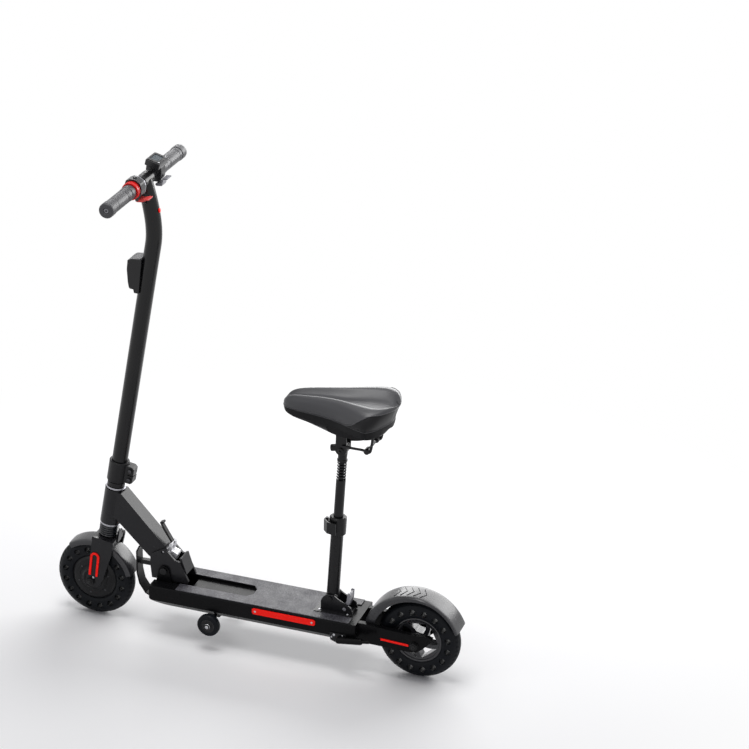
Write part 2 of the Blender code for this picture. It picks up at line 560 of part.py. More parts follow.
BOOT_RIBS = 4
boot_top = -HEAD_RING_H - GAP - 0.0002
boot_profile = [(FORK_SLEEVE_R + PIN_PLAY, 0), (0.0205, 0)]
for k in range(BOOT_RIBS):
    boot_profile += [(0.0235, -BOOT_LEN * (k + 0.35) / BOOT_RIBS), (0.0235, -BOOT_LEN * (k + 0.65) / BOOT_RIBS), (0.0208, -BOOT_LEN * (k + 1) / BOOT_RIBS)]
boot_profile += [(FORK_SLEEVE_R + PIN_PLAY, -BOOT_LEN)]
piece("fork_boot", turned(boot_profile, on_axis(boot_top), steer_dir, 20, True), (0.014, 0.014, 0.015), 0.6, 0, tuple(on_axis(boot_top)))


def fender(radius, thick, half, lip, start, stop, count, centre_x):
    rings = []
    for k in range(count):
        a = start + (stop - start) * k / (count - 1)
        ring = []
        for y, r in ((-half, lip), (-half, radius - 0.005), (-half + 0.006, radius), (half - 0.006, radius), (half, radius - 0.005), (half, lip), (half - thick, lip), (half - thick, radius - 0.0055), (half - 0.007, radius - thick), (-half + 0.007, radius - thick), (-half + thick, radius - 0.0055), (-half + thick, lip)):
            ring.append((centre_x + r * cos(a), y, WHEEL_R + r * sin(a)))
        rings.append(ring)
    return loft(rings)


piece("front_fender", fender(FRONT_FENDER_R, FRONT_FENDER_T, 0.027, 0.093, radians(15), radians(126), 20, 0), (0.115, 0.115, 0.125), 0.35, 0, (0, 0, WHEEL_R))
nut_half = [(0.0055, leg_out + 0.0105), (0.0055, leg_out + 0.0078), (0.0100, leg_out + 0.0070), (0.0105, leg_out + 0.0005), (AXLE_R, leg_out + 0.0005)]
piece("front_axle", turned([(r, -t) for r, t in nut_half] + nut_half[::-1], (0, 0, WHEEL_R), (0, 1, 0), 12), (0.12, 0.12, 0.13), 0.4, 1.0, (0, 0, WHEEL_R))

arch_base = Vector((0.0070, 0.1175))
arch_top = Vector((0.0135, 0.1700))
arch_dir = (arch_top - arch_base).normalized()
arch_side = Vector((arch_dir.y, -arch_dir.x))
ARCH_OUT, ARCH_IN = 0.0118, 0.0062
arch = [tuple(arch_base + arch_side * ARCH_OUT)]
arch += [tuple(arch_top + arch_side * ARCH_OUT * cos(a) + arch_dir * ARCH_OUT * sin(a)) for a in [pi * k / 8 for k in range(9)]]
arch += [tuple(arch_base - arch_side * ARCH_OUT), tuple(arch_base - arch_side * ARCH_IN)]
arch += [tuple(arch_top - arch_side * ARCH_IN * cos(a) + arch_dir * ARCH_IN * sin(a)) for a in [pi * k / 8 for k in range(9)]]
arch += [tuple(arch_base + arch_side * ARCH_IN)]
piece("leg_reflector_left", side_plate(arch, -leg_out - 0.0034, -leg_out - 0.0004), (0.80, 0.012, 0.010), 0.3)
piece("leg_reflector_right", side_plate(arch, leg_out + 0.0004, leg_out + 0.0034), (0.80, 0.012, 0.010), 0.3)


# Wheels
def tyre_body():
    half = TYRE_HALF_W
    upper = [(RIM_R + GAP, half - 0.006), (0.066, half - 0.0015), (0.078, half), (0.090, half - 0.0035), (0.097, half - 0.0105), (WHEEL_R, half - 0.018)]
    return turned([(r, -t) for r, t in upper] + upper[::-1], (0, 0, 0), (0, 1, 0), WHEEL_STEPS, True)


def tyre_hole_tools(x):
    bm = None
    for k in range(TYRE_HOLES):
        a = 2 * pi * (k + 0.5) / TYRE_HOLES
        one = rod(TYRE_HOLE_R, (x + TYRE_HOLE_RING_R * cos(a), 0, WHEEL_R + TYRE_HOLE_RING_R * sin(a)), (0, 1, 0), -0.03, 0.03, 8)
        bm = one if bm is None else merge(bm, one)
    return bm


for word, x in (("front_tyre", 0.0), ("rear_tyre", WHEELBASE)):
    body = tyre_body()
    bmesh.ops.translate(body, verts=body.verts, vec=(x, 0, WHEEL_R))
    tyre = piece(word, body, (0.013, 0.013, 0.014), 0.72, 0, (x, 0, WHEEL_R))
    cut(tyre, tyre_hole_tools(x))

motor_half = [(AXLE_R + PIN_PLAY, HUB_HALF_W), (0.026, HUB_HALF_W), (0.030, 0.0225), (0.052, 0.0205), (RIM_R, TYRE_HALF_W - 0.007)]
piece("hub_motor", turned([(r, -t) for r, t in motor_half] + motor_half[::-1], (0, 0, WHEEL_R), (0, 1, 0), WHEEL_STEPS, True), (0.040, 0.040, 0.044), 0.4, 0, (0, 0, WHEEL_R))

SPOKES = 5
SPOKE_W = 0.011
HUB_R = 0.021
RIM_IN = 0.0500
rim_half = [(AXLE_R + PIN_PLAY, 0.024), (HUB_R - 0.006, 0.024), (HUB_R, 0.014), (RIM_IN, 0.012), (RIM_IN + 0.003, TYRE_HALF_W - 0.006), (RIM_R, TYRE_HALF_W - 0.006)]
rear_rim = piece("rear_rim", turned([(r, -t) for r, t in rim_half] + rim_half[::-1], (WHEELBASE, 0, WHEEL_R), (0, 1, 0), WHEEL_STEPS, True), (0.045, 0.045, 0.05), 0.35, 0, (WHEELBASE, 0, WHEEL_R))
window = None
for k in range(SPOKES):
    mid = radians(-20 + 36) + 2 * pi * k / SPOKES
    span_in = pi / SPOKES - SPOKE_W / 2 / HUB_R
    span_out = pi / SPOKES - SPOKE_W / 2 / RIM_IN
    outline = circle_points(WHEELBASE, WHEEL_R, HUB_R + 0.001, mid - span_in, mid + span_in, 3)
    outline += circle_points(WHEELBASE, WHEEL_R, RIM_IN - 0.001, mid + span_out, mid - span_out, 6)
    one = side_plate(outline, -0.04, 0.04)
    window = one if window is None else merge(window, one)
cut(rear_rim, window)

# Deck: shell with rear arms, bay for the battery, forked nose round the hinge
deck_origin = fold
cross = [(-DECK_HALF_W, DECK_SIDE_LOW), (-DECK_HALF_W, DECK_TOP - 0.002), (-DECK_HALF_W + 0.002, DECK_TOP), (DECK_HALF_W - 0.002, DECK_TOP), (DECK_HALF_W, DECK_TOP - 0.002), (DECK_HALF_W, DECK_SIDE_LOW), (DECK_FLOOR_HALF_W, DECK_BOTTOM), (-DECK_FLOOR_HALF_W, DECK_BOTTOM)]
deck = piece("deck_shell", loft([[(x, y, z) for y, z in cross] for x in (DECK_FRONT, DECK_REAR)]), (0.030, 0.030, 0.033), 0.42, 0, deck_origin)
cut(deck, side_plate([(DECK_FRONT - 0.01, 0.101), (DECK_FRONT, 0.101), (0.177, 0.0895), (0.195, 0.082), (0.212, DECK_BOTTOM - 0.0003), (0.212, 0.06), (DECK_FRONT - 0.01, 0.06)], -0.08, 0.08))
cut(deck, side_plate([(DECK_REAR - 0.022, 0.06), (DECK_REAR - 0.012, 0.090), (DECK_REAR + 0.01, 0.096), (DECK_REAR + 0.01, 0.06)], -0.08, 0.08))
cut(deck, box(DECK_FRONT - 0.02, SLOT_END, -SLOT_HALF_W, SLOT_HALF_W, SLOT_FLOOR, 0.2))
cut(deck, box(BAY_FRONT, BAY_REAR, -BAY_HALF_W, BAY_HALF_W, 0.05, BAY_TOP))
channel = [(SLOT_END - 0.01, -CHANNEL_HALF_W), (CHANNEL_END, -CHANNEL_HALF_W), (CHANNEL_END + 0.010, -0.012), (CHANNEL_END + 0.010, 0.012), (CHANNEL_END, CHANNEL_HALF_W), (SLOT_END - 0.01, CHANNEL_HALF_W)]
cut(deck, loft([[(x, y, z) for x, y in channel] for z in (DECK_TOP - CHANNEL_DEPTH, 0.15)]))
ear = [(FOLD_X - 0.021, DECK_TOP - 0.004)] + circle_points(FOLD_X, FOLD_Z, EAR_R, pi * 0.97, pi * 0.03, 8) + [(FOLD_X + 0.021, DECK_TOP - 0.004)]
for side in (-1, 1):
    y0, y1 = sorted((side * ear_in, side * ear_out))
    foot0, foot1 = sorted((side * (SLOT_HALF_W + 0.0002), side * (ear_out)))
    join(deck, side_plate(ear, y0, y1))
    join(deck, box(FOLD_X - 0.021, FOLD_X + 0.021, min(side * ear_in, side * (SLOT_HALF_W + 0.002)), max(side * ear_in, side * (SLOT_HALF_W + 0.002)), 0.112, DECK_TOP - 0.003))
TONGUE_R = BOLT_NOSE - 0.0005
join(deck, side_plate(circle_points(FOLD_X, FOLD_Z, TONGUE_R, 0, 2 * pi * 23 / 24, 24), -0.010, 0.010))
join(deck, box(FOLD_X - 0.0015, FOLD_X + 0.0085, -0.009, 0.009, SLOT_FLOOR - 0.003, FOLD_Z - 0.018))
arm = [(DECK_REAR - 0.035, 0.131), (DECK_REAR + 0.010, 0.1335), (WHEELBASE - 0.0695, 0.1295), (WHEELBASE - 0.0095, 0.127), (WHEELBASE + 0.0325, 0.1285), (WHEELBASE + 0.0435, 0.1255), (WHEELBASE + 0.0385, 0.115), (WHEELBASE + 0.0205, 0.095), (WHEELBASE + 0.0065, 0.084), (WHEELBASE - 0.0145, 0.0815), (DECK_REAR + 0.030, 0.0825), (DECK_REAR - 0.0175, 0.086), (DECK_REAR - 0.035, 0.098)]
for side in (-1, 1):
    y0, y1 = sorted((side * ARM_IN, side * (ARM_IN + ARM_T)))
    join(deck, side_plate(arm, y0, y1))
cut(deck, rod(AXLE_R + PIN_PLAY, (WHEELBASE, 0, WHEEL_R), (0, 1, 0), -0.06, 0.06))
cut(deck, rod(FOLD_PIN_R + PIN_PLAY, fold, (0, 1, 0), -0.06, 0.06))

piece("deck_cover", box(BAY_FRONT + GAP, BAY_REAR - GAP, -BAY_HALF_W + GAP, BAY_HALF_W - GAP, DECK_BOTTOM + 0.0002, DECK_BOTTOM + 0.003), (0.025, 0.025, 0.027), 0.55, 0, deck_origin)
piece("battery", box(BAY_FRONT + 0.025, BAY_REAR - 0.112, -BAY_HALF_W + 0.0025, BAY_HALF_W - 0.0025, DECK_BOTTOM + 0.003 + GAP, BAY_TOP - GAP), (0.10, 0.20, 0.35), 0.5, 0, deck_origin)

mat_lo = DECK_TOP + GAP
mat_half = DECK_HALF_W - 0.0026
mat_front = SLOT_END - 0.029
mat_rear = DECK_REAR - 0.018
base_front = SEAT_X - 0.031
BASE_HALF_W = 0.030
mat_notch = base_front - 0.003
mat_outline = [(mat_front, -mat_half), (mat_rear, -mat_half), (mat_rear, -BASE_HALF_W - 0.003), (mat_notch, -BASE_HALF_W - 0.003), (mat_notch, BASE_HALF_W + 0.003), (mat_rear, BASE_HALF_W + 0.003), (mat_rear, mat_half), (mat_front, mat_half), (mat_front, 0.0285), (SLOT_END, 0.0285), (CHANNEL_END - 0.001, 0.0275), (CHANNEL_END + 0.011, 0.013), (CHANNEL_END + 0.011, -0.013), (CHANNEL_END - 0.001, -0.0275), (SLOT_END, -0.0285), (mat_front, -0.0285)]
piece("grip_mat", loft([[(x, y, z) for x, y in mat_outline] for z in (mat_lo, mat_lo + MAT_T)]), (0.17, 0.17, 0.185), 0.9, 0, deck_origin)

LENS_MID = DECK_REAR - 0.1785
for side, word in ((-1, "left"), (1, "right")):
    y0, y1 = sorted((side * (DECK_HALF_W + GAP), side * (DECK_HALF_W + 0.0028)))
    lens = [(LENS_MID - 0.0795, 0.1265), (LENS_MID - 0.0755, 0.1295), (LENS_MID + 0.0755, 0.1295), (LENS_MID + 0.0795, 0.1265), (LENS_MID + 0.0795, 0.1165), (LENS_MID + 0.0755, 0.1135), (LENS_MID - 0.0755, 0.1135), (LENS_MID - 0.0795, 0.1165)]
    piece("side_reflector_" + word, side_plate(lens, y0, y1), (0.80, 0.02, 0.015), 0.25, 0, deck_origin)
    face_y = ARM_IN + ARM_T
    y0, y1 = sorted((side * (face_y + GAP), side * (face_y + 0.0016)))
    piece("arm_stripe_" + word, side_plate([(WHEELBASE - 0.0815, 0.1045), (WHEELBASE - 0.013, 0.1015), (WHEELBASE - 0.013, 0.0960), (WHEELBASE - 0.0815, 0.0990)], y0, y1), (0.80, 0.015, 0.012), 0.35, 0, deck_origin)

piece("rear_fender", fender(FENDER_R, FENDER_T, ARM_IN - GAP, 0.101, FENDER_REAR, FENDER_FRONT, 22, WHEELBASE), (0.060, 0.060, 0.066), 0.38, 0, (WHEELBASE, 0, WHEEL_R))
rear_nut = [(0.0055, face_y + 0.0085), (0.0100, face_y + 0.0070), (0.0105, face_y + 0.0005), (AXLE_R, face_y + 0.0005)]
piece("rear_axle", turned([(r, -t) for r, t in rear_nut] + rear_nut[::-1], (WHEELBASE, 0, WHEEL_R), (0, 1, 0), 12), (0.12, 0.12, 0.13), 0.4, 1.0, (WHEELBASE, 0, WHEEL_R))

# Kickstand on the left side
stand_face = DECK_HALF_W + GAP
bracket_out = stand_face + 0.0024
bracket = piece("kickstand_bracket", side_plate([(STAND_X + x, z) for x, z in [(-0.027, 0.106), (0.013, 0.106), (0.013, 0.092), (0.009, 0.082), (-0.007, 0.080), (-0.025, 0.086)]], -bracket_out, -stand_face), (0.028, 0.028, 0.030), 0.4, 0, deck_origin)
leg_in_y = bracket_out + GAP
leg_out_y = leg_in_y + 0.0070
stand_at = (STAND_X, -(leg_in_y + leg_out_y) / 2, STAND_Z)
join(bracket, turned([(STAND_PIN_R, bracket_out - 0.001), (STAND_PIN_R, leg_out_y + GAP), (0.0065, leg_out_y + GAP), (0.0055, leg_out_y + 0.0022)], (STAND_X, 0, STAND_Z), (0, -1, 0), 14))
stand_outline = circle_points(STAND_X, STAND_Z, 0.0090, radians(70), radians(290), 9) + [(STAND_X + 0.018, STAND_Z - 0.0065), (STAND_X + STAND_LEN - 0.016, STAND_Z - 0.0070), (STAND_X + STAND_LEN - 0.003, STAND_Z - 0.0110), (STAND_X + STAND_LEN, STAND_Z - 0.0070), (STAND_X + STAND_LEN - 0.002, STAND_Z + 0.0030), (STAND_X + 0.018, STAND_Z + 0.0055)]
kickstand = piece("kickstand_leg", side_plate(stand_outline, -leg_out_y, -leg_in_y), (0.024, 0.024, 0.026), 0.4, 0, stand_at)
cut(kickstand, rod(STAND_PIN_R + PIN_PLAY, stand_at, (0, 1, 0), -0.02, 0.02, 14))

# Seat base and its catch
seat_dir = Vector((sin(SEAT_LEAN), 0, cos(SEAT_LEAN)))
seat_foot = Vector((SEAT_X, 0, SEAT_Z))


def on_post(s):
    return seat_foot + seat_dir * s


seat_pin = (SEAT_X, 0, SEAT_Z)
BASE_IN = 0.0155
BASE_T = 0.005
base_lo = DECK_TOP + GAP
SEAT_PIN_R = 0.004
seat_base = piece("seat_base", box(base_front, SEAT_X + 0.052, -BASE_HALF_W, BASE_HALF_W, base_lo, base_lo + 0.004), (0.026, 0.026, 0.028), 0.42, 0, deck_origin)
cheek = [(SEAT_X + x, SEAT_Z + z) for x, z in [(-0.022, -0.008), (-0.012, 0.008), (0.0, 0.013), (0.014, 0.008), (0.028, -0.010), (0.044, -0.014)]]
cheek = [(SEAT_X - 0.024, base_lo + 0.002)] + cheek + [(SEAT_X + 0.046, base_lo + 0.002)]
join(seat_base, side_plate(cheek, BASE_IN, BASE_IN + BASE_T))
join(seat_base, side_plate(cheek, -BASE_IN - BASE_T, -BASE_IN))
cut(seat_base, rod(SEAT_PIN_R + PIN_PLAY, seat_pin, (0, 1, 0), -0.04, 0.04, 14))
catch_pin = (SEAT_X + 0.036, 0, SEAT_Z - 0.0205)
CATCH_PIN_R = 0.0025
cut(seat_base, rod(CATCH_PIN_R + PIN_PLAY, catch_pin, (0, 1, 0), -0.04, 0.04, 12))
catch_outline = [(SEAT_X + x, SEAT_Z + z) for x, z in [(0.0310, -0.0240), (0.0360, -0.0255), (0.0410, -0.0240), (0.0480, -0.0020), (0.0480, 0.0110), (0.0425, 0.0120), (0.0300, -0.0150)]]
catch = piece("seat_catch", side_plate(catch_outline, -BASE_IN + 0.0006, BASE_IN - 0.0006), (0.030, 0.030, 0.032), 0.38, 0, catch_pin)
join(catch, rod(CATCH_PIN_R, catch_pin, (0, 1, 0), -BASE_IN - BASE_T - 0.001, BASE_IN + BASE_T + 0.001, 12))

# Seat posts
lower_post = piece("lower_post", turned([(LOWER_POST_R, 0), (LOWER_POST_R, LOWER_POST_LEN)], seat_foot, seat_dir, 20), (0.026, 0.026, 0.028), 0.36, 0, seat_pin)
join(lower_post, rod(LOWER_POST_R + 0.0001, seat_pin, (0, 1, 0), -BASE_IN + 0.0005, BASE_IN - 0.0005, 20))
join(lower_post, rod(SEAT_PIN_R, seat_pin, (0, 1, 0), -BASE_IN - BASE_T - 0.002, BASE_IN + BASE_T + 0.002, 14))
cut(lower_post, rod(POST_BORE_R, seat_foot, seat_dir, POST_BORE_LOW, LOWER_POST_LEN + 0.02, 20))

collar_lo = LOWER_POST_LEN + GAP
collar_hi = collar_lo + COLLAR_LEN
collar = piece("seat_collar", turned([(POST_BORE_R, collar_lo), (LOWER_POST_R + 0.002, collar_lo), (COLLAR_R, collar_lo + 0.003), (COLLAR_R, collar_hi - 0.003), (LOWER_POST_R + 0.002, collar_hi), (POST_BORE_R, collar_hi)], seat_foot, seat_dir, 20, True), (0.024, 0.024, 0.026), 0.38, 0, tuple(on_post(collar_lo)))
lever_mid = on_post((collar_lo + collar_hi) / 2)
join(collar, box(lever_mid.x - 0.030, lever_mid.x - 0.016, -0.0065, 0.0065, lever_mid.z - 0.010, lever_mid.z + 0.010))
clip_pin = (lever_mid.x - 0.0262, 0, lever_mid.z)
CLIP_PIN_R = 0.0025
CLIP_LUG_R = 0.0037
cut(collar, rod(CLIP_PIN_R + PIN_PLAY, clip_pin, seat_dir, -0.02, 0.02, 10))
clip = piece("seat_clip", rod(CLIP_LUG_R, clip_pin, (0, 0, 1), 0.0105, 0.0150, 14), (0.030, 0.030, 0.032), 0.35, 0, clip_pin)
join(clip, rod(CLIP_LUG_R, clip_pin, (0, 0, 1), -0.0150, -0.0105, 14))
join(clip, rod(CLIP_PIN_R, clip_pin, seat_dir, -0.014, 0.014, 10))
clip_web = [(-0.0033, -0.0004), (-0.0046, 0.0080), (-0.0030, 0.0088), (0.0013, 0.0017)]
for up in (-1, 1):
    join(clip, loft([[(clip_pin[0] + x, -y, lever_mid.z + up * z) for x, y in clip_web] for z in (0.0108, 0.0147)]))
join(clip, loft([[(clip_pin[0] + x, -y, z) for x, y in [(-0.0048, 0.0068), (-0.0048, 0.0105), (0.0075, 0.0240), (0.0300, 0.0285), (0.0310, 0.0255), (0.0105, 0.0215), (-0.0022, 0.0085)]] for z in (lever_mid.z - 0.0149, lever_mid.z + 0.0149)]))

upper_lo = UPPER_POST_LOW
upper_post = piece("upper_post", turned([(UPPER_POST_R, upper_lo), (UPPER_POST_R, SPRING_START)], seat_foot, seat_dir, 20), (0.026, 0.026, 0.028), 0.33, 0, tuple(on_post(SPRING_START)))
guide_hi = collar_hi - 0.0006
piece("guide_sleeve", turned([(UPPER_POST_R + GAP, GUIDE_LOW), (POST_BORE_R - GAP, GUIDE_LOW), (POST_BORE_R - GAP, guide_hi), (UPPER_POST_R + GAP, guide_hi)], seat_foot, seat_dir, 20, True), (0.08, 0.08, 0.085), 0.6, 0, tuple(on_post(guide_hi)))
rod_bore = SEAT_ROD_R + GAP
cut(upper_post, rod(rod_bore, seat_foot, seat_dir, SPRING_START - 0.070, SPRING_START + 0.02, 16))

spring_lo = SPRING_START + GAP + SPRING_WIRE_R
spring_hi = SPRING_START + SPRING_LEN - SPRING_WIRE_R
axis, coil_u, coil_v = basis(seat_dir)
coil = []
PER_TURN = 10
for k in range(SPRING_TURNS * PER_TURN + 1):
    a = 2 * pi * k / PER_TURN
    coil.append(on_post(spring_lo + (spring_hi - spring_lo) * k / (SPRING_TURNS * PER_TURN)) + (coil_u * cos(a) + coil_v * sin(a)) * SPRING_COIL_R)
piece("seat_spring", swept(coil, SPRING_WIRE_R, 6), (0.020, 0.020, 0.022), 0.3, 0, tuple(on_post(SPRING_START)))
least = min((coil[i] - coil[j]).length for i in range(len(coil)) for j in range(i + PER_TURN // 2, len(coil))) - 2 * SPRING_WIRE_R
print("least gap of the seat spring to itself, mm:", round(least * 1000, 2))

# Seat rod with the saddle clamp
tilt_at = on_post(TILT_LEN)
flange_lo = SPRING_START + SPRING_LEN + GAP
clamp_head = piece("seat_clamp", turned([(SEAT_ROD_R, SPRING_START - 0.045), (SEAT_ROD_R, flange_lo), (0.0122, flange_lo), (0.0122, flange_lo + 0.004), (0.0105, flange_lo + 0.006), (0.0118, TILT_LEN - 0.004)], seat_foot, seat_dir, 18), (0.018, 0.018, 0.020), 0.45, 0, tuple(on_post(flange_lo)))
TILT_HALF_W = 0.0130
join(clamp_head, rod(TILT_R, tilt_at, (0, 1, 0), -TILT_HALF_W, TILT_HALF_W, 20))
join(clamp_head, rod(0.0085, tilt_at, (-1, 0, -0.2), 0.006, 0.0290, 12))
TILT_PIN_R = 0.004
cut(clamp_head, rod(TILT_PIN_R + PIN_PLAY, tilt_at, (0, 1, 0), -0.04, 0.04, 14))

# Saddle: hard base with its wires below, soft cushion above
# station: place along the saddle, half width, rim above the split, lowest point below it
saddle_mid = SEAT_X + 0.020
stations = [
    (-0.141, 0.014, 0.0120, 0.0095), (-0.134, 0.023, 0.0220, 0.0155), (-0.120, 0.030, 0.0290, 0.0200), (-0.097, 0.036, 0.0340, 0.0260), (-0.067, 0.041, 0.0380, 0.0335),
    (-0.032, 0.048, 0.0420, 0.0420), (0.003, 0.060, 0.0445, 0.0500), (0.033, 0.075, 0.0460, 0.0515), (0.063, 0.089, 0.0470, 0.0490), (0.086, 0.0950, 0.0470, 0.0420),
    (0.101, 0.0870, 0.0467, 0.0330), (0.112, 0.0750, 0.0462, 0.0230), (0.122, 0.0540, 0.0450, 0.0110), (0.130, 0.0300, 0.0430, 0.0020)]
DISH = 0.010
WING_Z = SADDLE_SPLIT - 0.018
base_rings, cushion_rings = [], []
for along, w, rise, depth in stations:
    x, top, low = saddle_mid + along, SADDLE_SPLIT + rise, SADDLE_SPLIT - depth
    keel = min(w * 0.55, 0.028)
    wing = min(max(WING_Z, low + 0.004), SADDLE_SPLIT - 0.001)
    shoulder = (w * 0.82, (wing + low) / 2) if w < 0.05 else (keel + 0.012, wing - 0.003)
    half = [(w * 0.985, SADDLE_SPLIT), (w * 0.97, wing + 0.0008), shoulder, (keel, low)]
    base_rings.append([(x, -y, z) for y, z in half] + [(x, y, z) for y, z in half[::-1]])
    soft = SADDLE_SPLIT + GAP
    rise = top - soft
    dish = DISH * min(1.0, w / 0.06)
    ring = [(x, -w * 0.985, soft), (x, -w, soft + rise * 0.35), (x, -w * 0.965, soft + rise * 0.72), (x, -w * 0.88, soft + rise * 0.95), (x, -w * 0.76, top), (x, -w * 0.55, top - dish * 0.45), (x, -w * 0.28, top - dish * 0.9), (x, 0, top - dish)]
    ring += [(px, -py, pz) for px, py, pz in ring[-2::-1]]
    cushion_rings.append(ring)
saddle_base = piece("saddle_base", loft(base_rings), (0.018, 0.018, 0.020), 0.5, 0, tuple(tilt_at))
for side in (-1, 1):
    ear_side = [(tilt_at.x - 0.011, SADDLE_SPLIT - 0.044), (tilt_at.x - 0.0132, tilt_at.z)] + circle_points(tilt_at.x, tilt_at.z, 0.0138, pi * 1.05, pi * 1.95, 8) + [(tilt_at.x + 0.0132, tilt_at.z), (tilt_at.x + 0.013, SADDLE_SPLIT - 0.044)]
    y0, y1 = sorted((side * (TILT_HALF_W + 0.0004), side * (TILT_HALF_W + 0.0046)))
    join(saddle_base, side_plate(ear_side, y0, y1))
    wire = [Vector((tilt_at.x + 0.006, side * (TILT_HALF_W + 0.0042), tilt_at.z + 0.012)), Vector((tilt_at.x + 0.030, side * 0.024, tilt_at.z + 0.014)), Vector((tilt_at.x + 0.0581, side * 0.034, tilt_at.z + 0.0190)), Vector((tilt_at.x + 0.0701, side * 0.0365, tilt_at.z + 0.0170)), Vector((tilt_at.x + 0.0811, side * 0.0385, tilt_at.z + 0.0230)), Vector((tilt_at.x + 0.0901, side * 0.040, WING_Z))]
    join(saddle_base, swept(wire, 0.0032, 8))
join(saddle_base, rod(TILT_PIN_R, tilt_at, (0, 1, 0), -TILT_HALF_W - 0.006, TILT_HALF_W + 0.006, 14))
piece("saddle_cushion", loft(cushion_rings), (0.10, 0.10, 0.112), 0.48, 0, tuple(tilt_at))
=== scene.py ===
import bpy
import bmesh
import json
from math import sin, cos, atan2, pi, radians
from mathutils import Vector, Matrix


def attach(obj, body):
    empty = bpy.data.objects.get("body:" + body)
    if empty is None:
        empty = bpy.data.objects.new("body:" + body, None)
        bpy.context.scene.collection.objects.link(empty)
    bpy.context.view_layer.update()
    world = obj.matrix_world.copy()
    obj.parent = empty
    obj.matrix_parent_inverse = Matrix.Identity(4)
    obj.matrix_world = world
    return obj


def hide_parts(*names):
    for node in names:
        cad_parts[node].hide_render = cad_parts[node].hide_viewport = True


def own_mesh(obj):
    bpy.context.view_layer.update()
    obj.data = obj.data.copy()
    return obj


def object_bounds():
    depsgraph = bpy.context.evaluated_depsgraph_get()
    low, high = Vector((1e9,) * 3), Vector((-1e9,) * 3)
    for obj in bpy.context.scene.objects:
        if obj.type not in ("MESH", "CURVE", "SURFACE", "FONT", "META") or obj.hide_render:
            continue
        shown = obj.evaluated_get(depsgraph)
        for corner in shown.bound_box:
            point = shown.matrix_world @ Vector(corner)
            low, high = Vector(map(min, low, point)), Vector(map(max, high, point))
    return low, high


# Folding electric scooter with a sprung seat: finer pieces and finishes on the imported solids.
# Places are counted from the front wheel's axle, and wheelShift brings them into the model's frame.
# Outlines and profiles are written in millimetres, and mm() turns them into metres.

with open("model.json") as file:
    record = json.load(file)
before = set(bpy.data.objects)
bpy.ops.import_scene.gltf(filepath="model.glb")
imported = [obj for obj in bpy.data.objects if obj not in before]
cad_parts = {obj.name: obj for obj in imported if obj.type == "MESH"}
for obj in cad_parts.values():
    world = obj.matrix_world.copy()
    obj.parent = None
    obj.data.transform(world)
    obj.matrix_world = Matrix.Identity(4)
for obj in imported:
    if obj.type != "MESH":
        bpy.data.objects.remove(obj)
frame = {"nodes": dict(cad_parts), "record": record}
cadLow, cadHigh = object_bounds()
nodes = frame["nodes"]
slotOf = {part["node"]: part["material_slot"] for part in frame["record"]["subparts"]}

wheelShift = -0.421076
wheelBase = 0.8295
wheelRadius = 0.1
rake = radians(9.87)
seatLean = radians(2.9)
steerDir = Vector((sin(rake), 0, cos(rake)))
rearDir = Vector((cos(rake), 0, -sin(rake)))
seatDir = Vector((sin(seatLean), 0, cos(seatLean)))
sideways = Vector((0, 1, 0))


def at(x, y, z):
    return Vector((x + wheelShift, y, z))


steerFoot = at(0.04, 0, 0.257)
postFoot = at(0.612, 0, 0.168)


def onSteer(along):
    return steerFoot + steerDir * along


def onPost(along):
    return postFoot + seatDir * along


def mm(points):
    return [tuple(n / 1000 for n in point) for point in points]


print("camera")
cameraSettings = {
    "place": (1.97562, -5.0102, 3.1842), "turn": (63.07, 0, 21.433),
    "lens": 124.55, "sensor": 36, "shift": (0.1516, 0.1349),
}
cameraData = bpy.data.cameras.new("photoCamera")
cameraData.lens = cameraSettings["lens"]
cameraData.sensor_width = cameraSettings["sensor"]
cameraData.shift_x, cameraData.shift_y = cameraSettings["shift"]
camera = bpy.data.objects.new("photoCamera", cameraData)
camera.location = cameraSettings["place"]
camera.rotation_euler = [radians(a) for a in cameraSettings["turn"]]
bpy.context.scene.collection.objects.link(camera)
bpy.context.scene.camera = camera

print("shared effects")


def newGroup(name, inputs, outputs):
    # inputs and outputs are rows of a label, a kind of socket and, for some, a starting value
    group = bpy.data.node_groups.new(name, "ShaderNodeTree")
    for way, rows in (("INPUT", inputs), ("OUTPUT", outputs)):
        for label, kind, *start in rows:
            made = group.interface.new_socket(name=label, in_out=way, socket_type="NodeSocket" + kind)
            if start:
                made.default_value = start[0]
    return group, group.nodes.new("NodeGroupInput"), group.nodes.new("NodeGroupOutput")


def addNode(tree, kind, values={}, **modes):
    # a shader node with its modes, and the values of its sockets
    node = tree.nodes.new("ShaderNode" + kind)
    for name, mode in modes.items():
        setattr(node, name, mode)
    for name, value in values.items():
        node.inputs[name].default_value = value
    return node


def wire(tree, rows):
    # each row joins an output of one node to an input of another
    for source, out, target, into in rows:
        tree.links.new(source.outputs[out], target.inputs[into])


def makeDriftGroup():
    # slow patches that pull a tone towards a second one
    group, entry, leave = newGroup(
        "toneDrift",
        [("Place", "Vector"), ("Tone", "Color"), ("Second Tone", "Color"), ("Size", "Float", 20.0),
         ("Amount", "Float", 0.5)],
        [("Color", "Color"), ("Patch", "Float")])
    cloud = addNode(group, "TexNoise", {"Detail": 4, "Roughness": 0.58})
    spread = addNode(group, "MapRange", {"From Min": 0.36, "From Max": 0.66})
    share = addNode(group, "Math", operation="MULTIPLY")
    mix = addNode(group, "Mix", data_type="RGBA")
    wire(group, [
        (entry, "Place", cloud, "Vector"), (entry, "Size", cloud, "Scale"), (cloud, "Fac", spread, "Value"),
        (spread, "Result", share, 0), (entry, "Amount", share, 1), (share, "Value", mix, "Factor"),
        (entry, "Tone", mix, "A"), (entry, "Second Tone", mix, "B"), (mix, "Result", leave, "Color"),
        (spread, "Result", leave, "Patch"),
    ])
    return group


